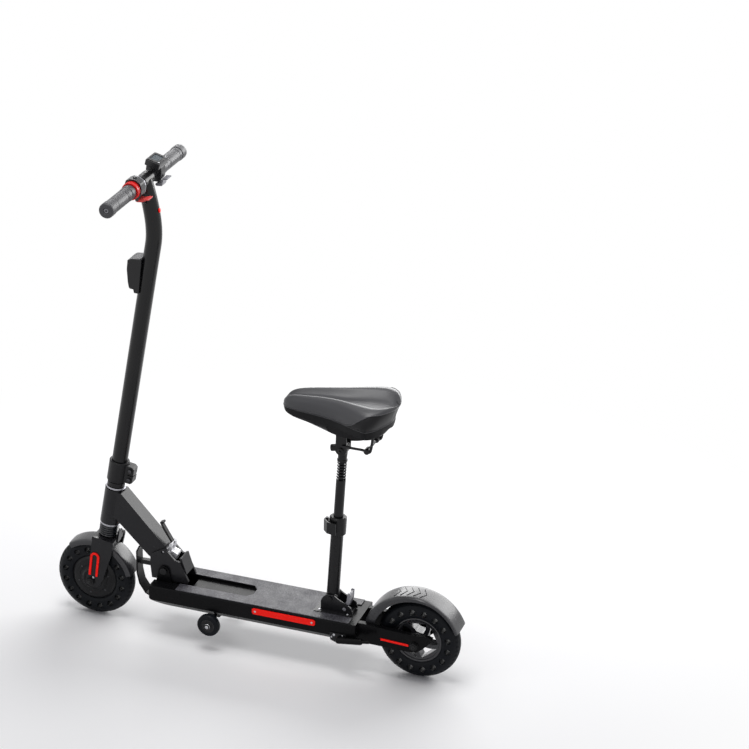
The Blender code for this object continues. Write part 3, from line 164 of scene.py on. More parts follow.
def makeGrainGroup():
    # fine moulded grain: soft pebbles with a little dust-sized noise on them
    group, entry, leave = newGroup(
        "mouldGrain",
        [("Place", "Vector"), ("Size", "Float", 900.0), ("Softness", "Float", 0.5)],
        [("Height", "Float")])
    pebble = addNode(group, "TexVoronoi", feature="SMOOTH_F1")
    fine = addNode(group, "TexNoise", {"Detail": 3})
    mix = addNode(group, "Mix")
    wire(group, [
        (entry, "Place", pebble, "Vector"), (entry, "Size", pebble, "Scale"), (entry, "Place", fine, "Vector"),
        (entry, "Size", fine, "Scale"), (entry, "Softness", mix, "Factor"), (pebble, "Distance", mix, "A"),
        (fine, "Fac", mix, "B"), (mix, "Result", leave, "Height"),
    ])
    return group


def makeRubGroup():
    # thin rubbed and scuffed places, mostly long and narrow
    group, entry, leave = newGroup(
        "lightRub",
        [("Place", "Vector"), ("Size", "Float", 60.0), ("Least", "Float", 0.62)],
        [("Mask", "Float")])
    stretch = addNode(group, "Mapping", {"Scale": (0.35, 1.0, 1.6)})
    noise = addNode(group, "TexNoise", {"Detail": 6, "Roughness": 0.66})
    edge = addNode(group, "MapRange", {"From Max": 0.8})
    wire(group, [
        (entry, "Place", stretch, "Vector"), (stretch, "Vector", noise, "Vector"),
        (entry, "Size", noise, "Scale"), (noise, "Fac", edge, "Value"), (entry, "Least", edge, "From Min"),
        (edge, "Result", leave, "Mask"),
    ])
    return group


driftGroup, grainGroup, rubGroup = makeDriftGroup(), makeGrainGroup(), makeRubGroup()


def placeGroup(tree, group, values, place):
    box = tree.nodes.new("ShaderNodeGroup")
    box.node_tree = group
    for label, value in values.items():
        box.inputs[label].default_value = value
    tree.links.new(place, box.inputs["Place"])
    return box


def makeFinish(name, tone, second, roughness, changes):
    # one finish: tone, drift of the tone, roughness that follows it, grain and rubbed places
    s = {**usualFinish, **changes}
    made = bpy.data.materials.new(name)
    made.use_nodes = True
    tree = made.node_tree
    link = tree.links.new
    shader = tree.nodes["Principled BSDF"]
    place = tree.nodes.new("ShaderNodeTexCoord").outputs["Object"]
    drift = placeGroup(tree, driftGroup, {
        "Tone": (*tone, 1), "Second Tone": (*second, 1), "Size": s["driftSize"], "Amount": 0.5}, place)
    colour = drift.outputs["Color"]
    if "rub" in s:
        rub = placeGroup(tree, rubGroup, {"Size": 55.0, "Least": s["rubLeast"]}, place)
        over = addNode(tree, "Mix", data_type="RGBA")
        over.inputs["B"].default_value = (*s["rub"], 1)
        link(rub.outputs["Mask"], over.inputs["Factor"])
        link(colour, over.inputs["A"])
        colour = over.outputs["Result"]
    rough = addNode(tree, "MapRange", {"To Min": roughness[0], "To Max": roughness[1]})
    link(drift.outputs["Patch"], rough.inputs["Value"])
    link(colour, shader.inputs["Base Color"])
    link(rough.outputs["Result"], shader.inputs["Roughness"])
    shader.inputs["Metallic"].default_value = s["metal"]
    shader.inputs["Coat Weight"].default_value = s["coat"]
    shader.inputs["Coat Roughness"].default_value = s["coatRough"]
    shader.inputs["Specular IOR Level"].default_value = s["shine"]
    grain = placeGroup(tree, grainGroup, {"Size": s["grain"], "Softness": 0.5}, place)
    bump = addNode(tree, "Bump", {"Strength": s["bump"], "Distance": s["deep"]})
    link(grain.outputs["Height"], bump.inputs["Height"])
    link(bump.outputs["Normal"], shader.inputs["Normal"])
    return made


print("finishes")
# a finish that says nothing of a value takes the usual one
usualFinish = {"grain": 700, "bump": 0.05, "deep": 0.0002, "shine": 0.5, "driftSize": 18, "metal": 0.0,
               "coat": 0.0, "coatRough": 0.2}
# tone, second tone, roughness from and to, and what isn't usual
finishes = {
    "frame_paint": ((0.016, 0.016, 0.0182), (0.0215, 0.0215, 0.024), (0.22, 0.28),
                    {"grain": 1400, "shine": 0.22, "rub": (0.035, 0.035, 0.04), "rubLeast": 0.72}),
    "deck_black": ((0.0042, 0.0042, 0.0048), (0.006, 0.006, 0.0068), (0.24, 0.32), {"grain": 1400, "shine": 0.1}),
    "stem_paint": ((0.009, 0.0088, 0.0096), (0.0125, 0.0125, 0.0135), (0.2, 0.26), {"grain": 1500, "shine": 0.26}),
    "black_metal": ((0.0085, 0.0085, 0.0095), (0.013, 0.013, 0.0145), (0.26, 0.36),
                    {"grain": 1300, "bump": 0.06, "shine": 0.24, "rub": (0.03, 0.03, 0.035), "rubLeast": 0.72}),
    "bright_ring": ((0.42, 0.42, 0.45), (0.55, 0.55, 0.58), (0.22, 0.34), {"grain": 500, "bump": 0.1, "metal": 1.0}),
    "chrome_block": ((0.9, 0.9, 0.92), (0.84, 0.84, 0.87), (0.24, 0.3),
                     {"bump": 0.0, "deep": 0.0003, "shine": 0.6, "driftSize": 40, "metal": 0.25}),
    "steel": ((0.52, 0.52, 0.54), (0.4, 0.4, 0.42), (0.22, 0.32), {"grain": 600, "bump": 0.12, "metal": 1.0}),
    "dark_steel": ((0.055, 0.055, 0.06), (0.09, 0.09, 0.1), (0.3, 0.42),
                   {"grain": 600, "bump": 0.12, "metal": 0.7}),
    "bar_metal": ((0.2, 0.2, 0.22), (0.27, 0.27, 0.29), (0.22, 0.3), {"grain": 900, "metal": 0.8, "coat": 0.3}),
    "grip_rubber": ((0.046, 0.046, 0.052), (0.052, 0.052, 0.058), (0.38, 0.42),
                    {"grain": 1500, "bump": 0.02, "deep": 0.0001}),
    "red_plastic": ((0.8, 0.008, 0.007), (0.7, 0.005, 0.005), (0.28, 0.36),
                    {"bump": 0.04, "deep": 0.0003, "shine": 0.3}),
    "lever_red": ((0.84, 0.085, 0.08), (0.78, 0.06, 0.06), (0.32, 0.42), {"deep": 0.0003, "shine": 0.35}),
    "lever_grey": ((0.34, 0.34, 0.37), (0.28, 0.28, 0.31), (0.32, 0.42), {"bump": 0.06, "deep": 0.0003}),
    "housing_plastic": ((0.024, 0.024, 0.027), (0.032, 0.032, 0.036), (0.22, 0.28),
                        {"grain": 1100, "bump": 0.04, "deep": 0.0001, "shine": 0.45}),
    "black_plastic": ((0.012, 0.012, 0.0135), (0.0165, 0.0165, 0.0185), (0.24, 0.32),
                      {"grain": 1100, "bump": 0.06, "shine": 0.3}),
    "cable_black": ((0.01, 0.01, 0.011), (0.016, 0.016, 0.017), (0.45, 0.55),
                    {"grain": 900, "bump": 0.15, "deep": 0.0003}),
    "boot_rubber": ((0.007, 0.009, 0.013), (0.012, 0.014, 0.02), (0.2, 0.26),
                    {"bump": 0.04, "deep": 0.0001, "shine": 0.75}),
    "tyre_rubber": ((0.004, 0.005, 0.0072), (0.007, 0.0085, 0.0115), (0.36, 0.5),
                    {"grain": 520, "bump": 0.25, "deep": 0.0004, "shine": 0.13}),
    "fender_plastic": ((0.032, 0.032, 0.036), (0.04, 0.04, 0.045), (0.24, 0.3), {"grain": 1000}),
    "hub_paint": ((0.008, 0.008, 0.0092), (0.012, 0.0125, 0.014), (0.24, 0.34),
                  {"grain": 900, "bump": 0.06, "deep": 0.0003, "shine": 0.2}),
    "rim_gloss": ((0.03, 0.03, 0.034), (0.045, 0.045, 0.05), (0.22, 0.3),
                  {"bump": 0.04, "deep": 0.0001, "metal": 0.15, "coat": 0.25, "coatRough": 0.15}),
    "battery_wrap": ((0.05, 0.12, 0.26), (0.06, 0.14, 0.3), (0.35, 0.45),
                     {"grain": 500, "bump": 0.1, "deep": 0.0003}),
    "spring_steel": ((0.01, 0.01, 0.012), (0.016, 0.016, 0.018), (0.25, 0.35),
                     {"grain": 900, "bump": 0.06, "deep": 0.0003, "shine": 0.3, "metal": 0.2}),
    "mat_grip": ((0.034, 0.033, 0.04), (0.046, 0.045, 0.054), (0.46, 0.6),
                 {"grain": 900, "bump": 0.5, "deep": 0.0005, "driftSize": 30}),
    "lens_red": ((0.92, 0.01, 0.007), (0.98, 0.018, 0.012), (0.22, 0.3),
                 {"bump": 0.25, "deep": 0.0004, "shine": 0.12, "driftSize": 60}),
    "screen": ((0.05, 0.068, 0.08), (0.065, 0.085, 0.098), (0.3, 0.36),
               {"bump": 0.0, "deep": 0.0003, "shine": 0.15, "driftSize": 90}),
    "saddle_plastic": ((0.008, 0.008, 0.0092), (0.0115, 0.0115, 0.013), (0.4, 0.5),
                       {"grain": 900, "bump": 0.06, "shine": 0.12}),
    "saddle_cover": ((0.026, 0.026, 0.031), (0.033, 0.033, 0.039), (0.4, 0.46),
                     {"grain": 1500, "bump": 0.08, "shine": 0.62, "driftSize": 9}),
    "saddle_skirt": ((0.007, 0.007, 0.0082), (0.01, 0.01, 0.0118), (0.4, 0.46),
                     {"grain": 1500, "bump": 0.08, "shine": 0.2, "driftSize": 9}),
}
finish = {name: makeFinish(name, *row) for name, row in finishes.items()}


def cellsOn(made, values, **modes):
    # a pattern of cells over a finish, read from the piece's own places
    tree = made.node_tree
    cells = addNode(tree, "TexVoronoi", values, **modes)
    tree.links.new(tree.nodes["Texture Coordinate"].outputs["Object"], cells.inputs["Vector"])
    return tree, cells


def addGrit(made):
    # the mat's light and dark grit, standing in its rubber
    tree, grit = cellsOn(made, {"Scale": 780})
    link = tree.links.new
    shader = tree.nodes["Principled BSDF"]
    tone = shader.inputs["Base Color"].links[0].from_socket
    split = addNode(tree, "SeparateColor")
    link(grit.outputs["Color"], split.inputs["Color"])
    for low, high, speck in ((0.78, 0.84, (0.135, 0.133, 0.155)), (0.32, 0.26, (0.013, 0.013, 0.016))):
        step = addNode(tree, "MapRange", {"From Min": low, "From Max": high})
        mix = addNode(tree, "Mix", data_type="RGBA")
        mix.inputs["B"].default_value = (*speck, 1)
        link(split.outputs["Red"], step.inputs["Value"])
        link(step.outputs["Result"], mix.inputs["Factor"])
        link(tone, mix.inputs["A"])
        tone = mix.outputs["Result"]
    link(tone, shader.inputs["Base Color"])


def addPrismsAndPaintedGlow(made):
    # the reflectors' field of small cube corners, with a painted red glow standing in for the light they send back
    tree, prism = cellsOn(made, {"Scale": 420, "Randomness": 0.0}, feature="F1", distance="CHEBYCHEV")
    tree.links.new(prism.outputs["Distance"], tree.nodes["Bump"].inputs["Height"])
    shader = tree.nodes["Principled BSDF"]
    # painted glow: a faint red emission that stands in for the reflectors' bright return of light, though they are no
    # lamps
    shader.inputs["Emission Color"].default_value = (1.0, 0.012, 0.006, 1)
    shader.inputs["Emission Strength"].default_value = 0.22


def addLeather(made):
    # the leather-like cells of the saddle's cover, under its fine pores
    tree, cells = cellsOn(made, {"Scale": 420}, feature="DISTANCE_TO_EDGE")
    bump = addNode(tree, "Bump", {"Strength": 0.12, "Distance": 0.0003})
    tree.links.new(cells.outputs["Distance"], bump.inputs["Height"])
    tree.links.new(bump.outputs["Normal"], tree.nodes["Bump"].inputs["Normal"])


addGrit(finish["mat_grip"])
addPrismsAndPaintedGlow(finish["lens_red"])
addLeather(finish["saddle_cover"])
addLeather(finish["saddle_skirt"])
for name, node in nodes.items():
    for slot in node.material_slots:
        slot.material = finish[slotOf[name]]

print("modelling tools")


def newPiece(name, bm, body, slotName, node=None, sharp=38, look=None, flat=True):
    # a finished piece that rides on a body and, where a node is given, replaces it
    bmesh.ops.remove_doubles(bm, verts=bm.verts, dist=2e-6)
    bmesh.ops.recalc_face_normals(bm, faces=bm.faces)
    mesh = bpy.data.meshes.new(name)
    bm.to_mesh(mesh)
    bm.free()
    mesh.shade_smooth()
    mesh.set_sharp_from_angle(angle=radians(sharp))
    piece = bpy.data.objects.new(name, mesh)
    bpy.context.scene.collection.objects.link(piece)
    mesh.materials.append(finish[look or slotName])
    if flat:
        # large flat faces keep their own shading beside the soft edges
        even = piece.modifiers.new("evenShade", "WEIGHTED_NORMAL")
        even.keep_sharp = True
    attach(piece, body)
    if node:
        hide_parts(node)
    return piece


def addInto(bm, *others):
    for other in others:
        mesh = bpy.data.meshes.new("part")
        other.to_mesh(mesh)
        other.free()
        bm.from_mesh(mesh)
        bpy.data.meshes.remove(mesh)
    return bm


def sharpEdges(bm, over):
    # the edges at which the surface turns by more than some degrees
    return [e for e in bm.edges if len(e.link_faces) == 2 and e.calc_face_angle(0) > radians(over)]


def soften(bm, geom, offset, segments, affect="EDGES"):
    bmesh.ops.bevel(bm, geom=geom, offset=offset, offset_type="OFFSET", segments=segments, profile=0.5,
                    affect=affect, clamp_overlap=True, material=-1)


def thicken(bm, along):
    # pushes flat faces along a vector into a solid
    grown = bmesh.ops.extrude_face_region(bm, geom=list(bm.faces))
    moved = [v for v in grown["geom"] if isinstance(v, bmesh.types.BMVert)]
    bmesh.ops.translate(bm, verts=moved, vec=along)
    bmesh.ops.recalc_face_normals(bm, faces=bm.faces)


def bothSides(half):
    # a profile and its mirror image across the middle
    return half + [(r, -t) for r, t in half[::-1]]


def rod(radius, low, high):
    # the profile of a plain round rod
    return [(0, low), (radius, low), (radius, high), (0, high)]


def spinProfile(profile, centre, axis, steps=64, ring=False, arc=2 * pi, start=0.0):
    # a profile of (distance from the axis, distance along it), turned round the axis
    bm = bmesh.new()
    axis = Vector(axis).normalized()
    out = Vector((1, 0, 0)) if abs(axis.x) < 0.9 else sideways
    out = (out - axis * out.dot(axis)).normalized()
    out = Matrix.Rotation(start, 3, axis) @ out
    verts = [bm.verts.new(Vector(centre) + axis * t + out * r) for r, t in profile]
    edges = [bm.edges.new(pair) for pair in zip(verts, verts[1:])]
    if ring:
        edges.append(bm.edges.new((verts[-1], verts[0])))
    bmesh.ops.spin(bm, geom=verts + edges, cent=centre, axis=axis, dvec=(0, 0, 0), angle=arc, steps=steps,
                   use_merge=arc == 2 * pi, use_normal_flip=False, use_duplicate=False)
    bmesh.ops.remove_doubles(bm, verts=bm.verts, dist=2e-6)
    return bm


def pushOutline(outline, low, high, soft=0.0008, rounds=None, segments=2):
    # an outline in the side view, pushed from low to high across the object, with soft edges
    bm = bmesh.new()
    verts = [bm.verts.new(at(x, low, z)) for x, z in outline]
    bm.faces.new(verts)
    if rounds:
        soften(bm, verts, rounds, 5, "VERTICES")
    thicken(bm, (0, high - low, 0))
    soften(bm, sharpEdges(bm, 30), soft, segments)
    return bm


def pushAcross(outline, half, **edges):
    return pushOutline(outline, -half, half, **edges)


def pushPair(outline, inner, outer, **edges):
    # the same outline pushed on both sides of the middle
    both = bmesh.new()
    for side in (-1, 1):
        low, high = sorted((side * inner, side * outer))
        addInto(both, pushOutline(outline, low, high, **edges))
    return both


def boltHead(centre, axis, radius, height):
    # a button head with a round socket
    dip = radius * 0.45
    profile = [(0, height * 0.35), (dip * 0.98, height * 0.35), (dip, height * 0.96), (radius * 0.62, height),
               (radius * 0.88, height * 0.8), (radius, height * 0.45), (radius, 0), (0, 0)]
    return spinProfile(profile, centre, axis, 24)


def boltPair(centre, reach, radius, height):
    # a bolt head on each side, facing outwards
    both = bmesh.new()
    for side in (-1, 1):
        addInto(both, boltHead(centre + sideways * side * reach, sideways * side, radius, height))
    return both


def smoothLine(points, per):
    # a curve through points, with per places on each stretch
    points = [Vector(p) for p in points]
    line = []
    for i in range(len(points) - 1):
        a, b, c, d = points[max(i - 1, 0)], points[i], points[i + 1], points[min(i + 2, len(points) - 1)]
        for k in range(per):
            t = k / per
            line.append(0.5 * (2 * b + (c - a) * t + (2 * a - 5 * b + 4 * c - d) * t * t
                               + (3 * b - a - 3 * c + d) * t ** 3))
    return line + [points[-1]]


def tube(points, radius, sides=4):
    # a round rod along a line, by a curve with a bevel
    curve = bpy.data.curves.new("line", "CURVE")
    curve.dimensions = "3D"
    curve.bevel_depth = radius
    curve.bevel_resolution = sides
    curve.use_fill_caps = True
    spline = curve.splines.new("POLY")
    spline.points.add(len(points) - 1)
    for point, place in zip(spline.points, points):
        point.co = (*place, 1)
    holder = bpy.data.objects.new("line", curve)
    bpy.context.scene.collection.objects.link(holder)
    depsgraph = bpy.context.evaluated_depsgraph_get()
    mesh = bpy.data.meshes.new_from_object(holder.evaluated_get(depsgraph))
    bm = bmesh.new()
    bm.from_mesh(mesh)
    bpy.data.objects.remove(holder)
    bpy.data.curves.remove(curve)
    bpy.data.meshes.remove(mesh)
    return bm


def softCopy(name, node, body, soft=0.0008, segments=2, turn=28, look=None):
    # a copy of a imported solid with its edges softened
    bm = bmesh.new()
    bm.from_mesh(nodes[node].data)
    bmesh.ops.remove_doubles(bm, verts=bm.verts, dist=1e-5)
    bmesh.ops.dissolve_limit(bm, angle_limit=radians(1.2), use_dissolve_boundaries=False, verts=bm.verts,
                             edges=bm.edges, delimit={"NORMAL"})
    soften(bm, [e for e in sharpEdges(bm, turn) if e.calc_length() > soft], soft, segments)
    return newPiece(name, bm, body, slotOf[node], node, sharp=40, look=look)


def softCopies(body, rows):
    # rows of a piece's name, its node, the width of its soft edges in metres and their segments
    for name, node, soft, segments in rows:
        softCopy(name, node, body, soft, segments)


def carve(piece, cutter):
    # cuts the cutter's shape out of a piece
    mesh = bpy.data.meshes.new("cutter")
    bmesh.ops.recalc_face_normals(cutter, faces=cutter.faces)
    cutter.to_mesh(mesh)
    cutter.free()
    tool = bpy.data.objects.new("cutter", mesh)
    bpy.context.scene.collection.objects.link(tool)
    change = piece.modifiers.new("carve", "BOOLEAN")
    change.object = tool
    change.operation = "DIFFERENCE"
    change.solver = "EXACT"
    depsgraph = bpy.context.evaluated_depsgraph_get()
    done = bpy.data.meshes.new_from_object(piece.evaluated_get(depsgraph))
    piece.modifiers.remove(change)
    piece.data = done
    bpy.data.objects.remove(tool)
    done.set_sharp_from_angle(angle=radians(35))
    return piece


print("tyres and wheels")
tyreSettings = {
    "side": mm([(58, 16), (60, 18.4), (63.5, 19.6), (64.2, 20), (65.5, 20.5), (72, 21.6), (78, 22), (83.5, 21.2),
                (88, 19.5), (92, 17), (95.5, 13.8), (97.8, 10.2), (98.8, 7.8), (98, 7), (98, 6.4), (99.3, 5.6),
                (99.9, 3), (100, 0.8)]),
    "steps": 96, "holes": 16, "holeRing": 0.0755, "holeRadius": 0.0078, "holeReach": 0.03,
    "sipeRadii": (0.0925, 0.0972), "sipeHalves": (0.011, 0.0175), "sipeRim": 0.0007, "sipeDepth": 0.0009,
}


def makeTyre(name, centreX, body, node):
    # sipes are pressed into every second face of the shoulders, and holes go right across
    s = tyreSettings
    centre = at(centreX, 0, wheelRadius)
    bm = spinProfile(bothSides(s["side"]), centre, sideways, s["steps"], ring=True)
    turn = 2 * pi / s["steps"]
    marks = []
    for face in bm.faces:
        place = face.calc_center_median() - centre
        reach = (place.x ** 2 + place.z ** 2) ** 0.5
        (near, far), (low, high) = s["sipeRadii"], s["sipeHalves"]
        if near < reach < far and low < abs(place.y) < high and int(atan2(place.z, place.x) / turn + 500.25) % 2 == 0:
            marks.append(face)
    bmesh.ops.recalc_face_normals(bm, faces=bm.faces)
    bmesh.ops.inset_individual(bm, faces=marks, thickness=s["sipeRim"], depth=-s["sipeDepth"])
    tyre = newPiece(name, bm, body, "tyre_rubber", node, sharp=32)
    drill = rod(s["holeRadius"], -s["holeReach"], s["holeReach"])
    cutter = bmesh.new()
    for k in range(s["holes"]):
        a = 2 * pi * (k + 0.5) / s["holes"]
        addInto(cutter, spinProfile(drill, centre + Vector((cos(a), 0, sin(a))) * s["holeRing"], sideways, 20))
    bmesh.ops.remove_doubles(cutter, verts=cutter.verts, dist=2e-6)
    carve(tyre, cutter)


makeTyre("frontTyre", 0, "front_wheel", "front_tyre")
makeTyre("rearTyre", wheelBase, "rear_wheel", "rear_tyre")

hubSettings = {
    "half": mm([(6.3, 26), (11.8, 26), (12.6, 25.3), (20.5, 25.3), (21.3, 26), (25.2, 26), (26.4, 25.3),
                (29.2, 22.9), (30.5, 22.4), (34.8, 22), (35.4, 21.3), (36.4, 21.3), (37, 21.9), (49, 20.7),
                (50.8, 20.5), (52, 19.8), (54, 17.6), (55.6, 17), (57.2, 15.8), (57.7, 15)]),
    "bolts": 6, "firstBolt": 0.3, "boltRing": 0.0405, "boltFace": 0.0213, "boltRadius": 0.0023, "boltHeight": 0.0011,
}
s = hubSettings
hubCentre = at(0, 0, wheelRadius)
newPiece("hubMotorCase", spinProfile(bothSides(s["half"]), hubCentre, sideways, 96, ring=True), "front_wheel",
         "hub_paint", "hub_motor", sharp=30)
hubBolts = bmesh.new()
for k in range(s["bolts"]):
    a = 2 * pi * (k + s["firstBolt"]) / s["bolts"]
    spot = hubCentre + Vector((cos(a), 0, sin(a))) * s["boltRing"]
    addInto(hubBolts, boltPair(spot, s["boltFace"], s["boltRadius"], s["boltHeight"]))
newPiece("hubBolts", hubBolts, "front_wheel", "dark_steel")

rimSettings = {
    "half": mm([(6.3, 24), (11.8, 24), (13.5, 23.3), (14.8, 21.5), (16, 18), (18, 15.2), (21, 14.1), (30, 13.4),
                (47, 12.4), (50, 12.6), (51.4, 13.8), (52.2, 15.6), (53.6, 16.6), (56, 16.7), (57.7, 16)]),
    "spokes": 5, "spokeWidth": 0.0105, "spokeGap": 0.02, "windowIn": 0.0228, "windowOut": 0.0488, "firstWindow": 16,
    "curl": 0.3, "curlFrom": 0.036, "curlOver": 0.026, "corner": 0.003, "cut": 0.04, "softEdge": 0.001,
}
s = rimSettings
rimCentre = at(wheelBase, 0, wheelRadius)
rearRim = newPiece("spokedRim", spinProfile(bothSides(s["half"]), rimCentre, sideways, 96, ring=True), "rear_wheel",
                   "hub_paint", "rear_rim", sharp=30, look="rim_gloss")
windowCutter = bmesh.new()
for k in range(s["spokes"]):
    middle = radians(s["firstWindow"] + 360 / s["spokes"] * k)
    radii = [s["windowIn"] + (s["windowOut"] - s["windowIn"]) * q / 7 for q in range(8)]
    edge = []
    for way in (1, -1):
        for r in radii[::way]:
            half = pi / s["spokes"] - s["spokeWidth"] / 2 / r - s["spokeGap"]
            edge.append((r, middle + s["curl"] * (r - s["curlFrom"]) / s["curlOver"] + way * half))
    window = bmesh.new()
    corners = [window.verts.new(rimCentre + Vector((r * cos(a), -s["cut"], r * sin(a)))) for r, a in edge]
    window.faces.new(corners)
    soften(window, [corners[0], corners[7], corners[8], corners[15]], s["corner"], 4, "VERTICES")
    thicken(window, (0, s["cut"] * 2, 0))
    addInto(windowCutter, window)
carve(rearRim, windowCutter)
softEdge = rearRim.modifiers.new("softEdge", "BEVEL")
softEdge.width, softEdge.segments = s["softEdge"], 3
softEdge.limit_method, softEdge.angle_limit = "ANGLE", radians(45)

nutSettings = {
    "radius": 0.01, "height": 0.0062, "middle": 0.0038, "soft": 0.0009,
    "washer": mm([(0, -0.6), (10.8, -0.6), (11.2, 0), (11, 0.9), (0, 0.9)]),
    "end": mm([(0, 10), (3.6, 9.8), (4.8, 9), (5.2, 8), (5.2, 6), (0, 6)]),
}


def axleNuts(name, body, centreX, face, node):
    # a nut with a washer and the rounded axle end, on both sides
    s = nutSettings
    bm = bmesh.new()
    for side in (-1, 1):
        spot = at(centreX, side * face, wheelRadius)
        nut = bmesh.new()
        bmesh.ops.create_cone(nut, cap_ends=True, segments=6, radius1=s["radius"], radius2=s["radius"],
                              depth=s["height"])
        soften(nut, list(nut.edges), s["soft"], 3)
        bmesh.ops.rotate(nut, verts=nut.verts, cent=(0, 0, 0), matrix=Matrix.Rotation(radians(90), 3, "X"))
        bmesh.ops.translate(nut, verts=nut.verts, vec=spot + sideways * side * s["middle"])
        addInto(bm, nut, spinProfile(s["washer"], spot, sideways * side, 32),
                spinProfile(s["end"], spot, sideways * side, 28))
    newPiece(name, bm, body, "dark_steel", node, look="black_metal")


axleNuts("frontAxleNuts", "fork", 0, 0.0378, "front_axle")
axleNuts("rearAxleNuts", "deck", wheelBase, 0.0452, "rear_axle")

print("fenders")
# from and to are degrees round the wheel; forward and down shift the crown from the wheel's centre
fenderSettings = {
    "front": {"radius": 0.106, "half": 0.027, "lip": 0.093, "wall": 0.0025, "from": 15, "to": 126, "forward": 0,
              "down": 0, "lipMost": 0.093, "centreX": 0, "body": "fork"},
    "rear": {"radius": 0.1215, "half": 0.0317, "lip": 0.101, "wall": 0.003, "from": 23, "to": 167,
             "forward": 0.0115, "down": 0.0035, "lipMost": 0.1085, "centreX": wheelBase, "body": "deck"},
}
# distance from the crown's radius, and share of the half width
fenderForm = [(-0.008, 1.0), (-0.0048, 0.985), (-0.002, 0.93), (-0.0006, 0.84), (0, 0.7), (0.0006, 0.35)]


def crownAt(s, a):
    # radius of the crown at an angle round the wheel
    return s["radius"] - s["forward"] * cos(a) - s["down"] * sin(a)


def lipAt(s, a):
    # radius of the lip, which stays under the crown
    return min(s["lipMost"], crownAt(s, a) - 0.006)


def fenderShell(s):
    # spun round the wheel with its wall, then fitted to the crown and the lip
    outer = [(s["lip"], 1.0)] + [(s["radius"] + rise, share) for rise, share in fenderForm]
    inner = []
    for r, share in outer:
        y = s["half"] * share
        inner.append((r - s["wall"] if r > s["lip"] + 0.006 else r, max(y - s["wall"], 0) if share > 0.5 else y))
    profile = [(r, s["half"] * share) for r, share in outer]
    full = bothSides(profile) + [(r, -t) for r, t in inner] + inner[::-1]
    hub = at(s["centreX"], 0, wheelRadius)
    bm = spinProfile(full, hub, -sideways, 64, ring=True, arc=radians(s["to"] - s["from"]), start=radians(s["from"]))
    for v in bm.verts:
        out = Vector((v.co.x - hub.x, 0, v.co.z - hub.z))
        a = atan2(out.z, out.x)
        share = (out.length - s["lip"]) / (s["radius"] - s["lip"])
        out *= (lipAt(s, a) + share * (crownAt(s, a) - lipAt(s, a))) / out.length
        v.co = Vector((hub.x + out.x, v.co.y, hub.z + out.z))
    bmesh.ops.holes_fill(bm, edges=[e for e in bm.edges if e.is_boundary], sides=0)
    rim = sharpEdges(bm, 50)
    bmesh.ops.recalc_face_normals(bm, faces=bm.faces)
    soften(bm, rim, 0.0007, 2)
    return bm


def roundWheel(s, r, angle, y):
    return at(s["centreX"] + r * cos(radians(angle)), y, wheelRadius + r * sin(radians(angle)))


def onFender(s, angle, y, up):
    # a point just over the outer face
    flat = min(max(abs(y) - s["half"] * 0.7, 0) / (s["half"] * 0.3), 1)
    return roundWheel(s, crownAt(s, radians(angle)) + 0.0004 - 0.0045 * flat ** 2.2 + up, angle, y)


for word, s in fenderSettings.items():
    newPiece(word + "Mudguard", fenderShell(s), s["body"], "fender_plastic", word + "_fender", sharp=30)
    bead = bmesh.new()
    for side in (-1, 1):
        angles = [s["from"] + (s["to"] - s["from"]) * q / 40 for q in range(41)]
        line = [roundWheel(s, lipAt(s, radians(a)) + 0.0004, a, side * (s["half"] - s["wall"] / 2)) for a in angles]
        addInto(bead, tube(line, 0.0013, 3))
    newPiece(word + "MudguardEdge", bead, s["body"], "fender_plastic", sharp=50)

ribSettings = {"ribs": 5, "first": 83, "step": 7.6, "sweep": 5.5, "reach": 0.62, "thick": 0.0011, "up": 0.0001}
s, shape = ribSettings, fenderSettings["rear"]
ribs = bmesh.new()
for k in range(s["ribs"]):
    base = s["first"] + s["step"] * k
    shares = [-1, -0.75, -0.5, -0.25, -0.08, 0, 0.08, 0.25, 0.5, 0.75, 1]
    line = [onFender(shape, base + s["sweep"] * abs(t), shape["half"] * s["reach"] * t, s["up"]) for t in shares]
    addInto(ribs, tube(line, s["thick"], 3))
newPiece("mudguardRibs", ribs, "deck", "fender_plastic", sharp=50)

print("fork and head")
softCopies("fork", [
    ("forkLegs", "fork", 0.001, 3),
    ("legReflectorLeft", "leg_reflector_left", 0.0009, 3),
    ("legReflectorRight", "leg_reflector_right", 0.0009, 3),
])
newPiece("legBolts", boltPair(at(0.0068, 0, 0.111), 0.037, 0.003, 0.002), "fork", "steel")

bootSettings = {"ribs": 5, "length": 0.0295, "top": -0.0067, "inside": 0.0168, "valley": 0.0196, "peak": 0.0237,
                "keep": 0.56}
s = bootSettings
bootProfile = [(s["inside"], s["top"]), (0.0215, s["top"]), (0.0218, s["top"] - 0.0006)]
for k in range(s["ribs"]):
    for q in range(8):
        swell = (0.5 - 0.5 * cos(2 * pi * q / 8)) ** 0.8
        down = 0.0012 + (s["length"] - 0.0016) * (k + q / 8) / s["ribs"]
        bootProfile.append((s["valley"] + (s["peak"] - s["valley"]) * swell, s["top"] - down))
bootProfile += [(s["valley"], s["top"] - s["length"] + 0.0002), (s["inside"], s["top"] - s["length"])]
boot = newPiece("forkBoot", spinProfile(bootProfile, steerFoot, steerDir, ring=True), "steering", "boot_rubber",
                "fork_boot", sharp=60)
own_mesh(boot)

ringForm = mm([(16.8, 0), (22.2, 0), (23.2, 0.7), (24, 1.9), (24, 2.6), (23.4, 3), (23.4, 3.4), (24.1, 3.8),
               (24.4, 4.6), (24, 5.7), (23, 5.9), (16.8, 5.9)])
for name, low, node in (("upperHeadRing", 0.0968, "head_ring_top"), ("lowerHeadRing", -0.0062, "head_ring_bottom")):
    newPiece(name, spinProfile([(r, low + t) for r, t in ringForm], steerFoot, steerDir, ring=True), "front_frame",
             "bright_ring", node, sharp=30)

softCopy("frontFrameBody", "front_frame", "front_frame", 0.0013, 3)
softCopy("noseStrip", "caster_arm", "front_frame", look="deck_black")
softCopy("latchBlock", "latch_block", "front_frame", 0.0009, 3)
softCopy("foldPin", "fold_pin", "front_frame", 0.0005, look="black_metal")

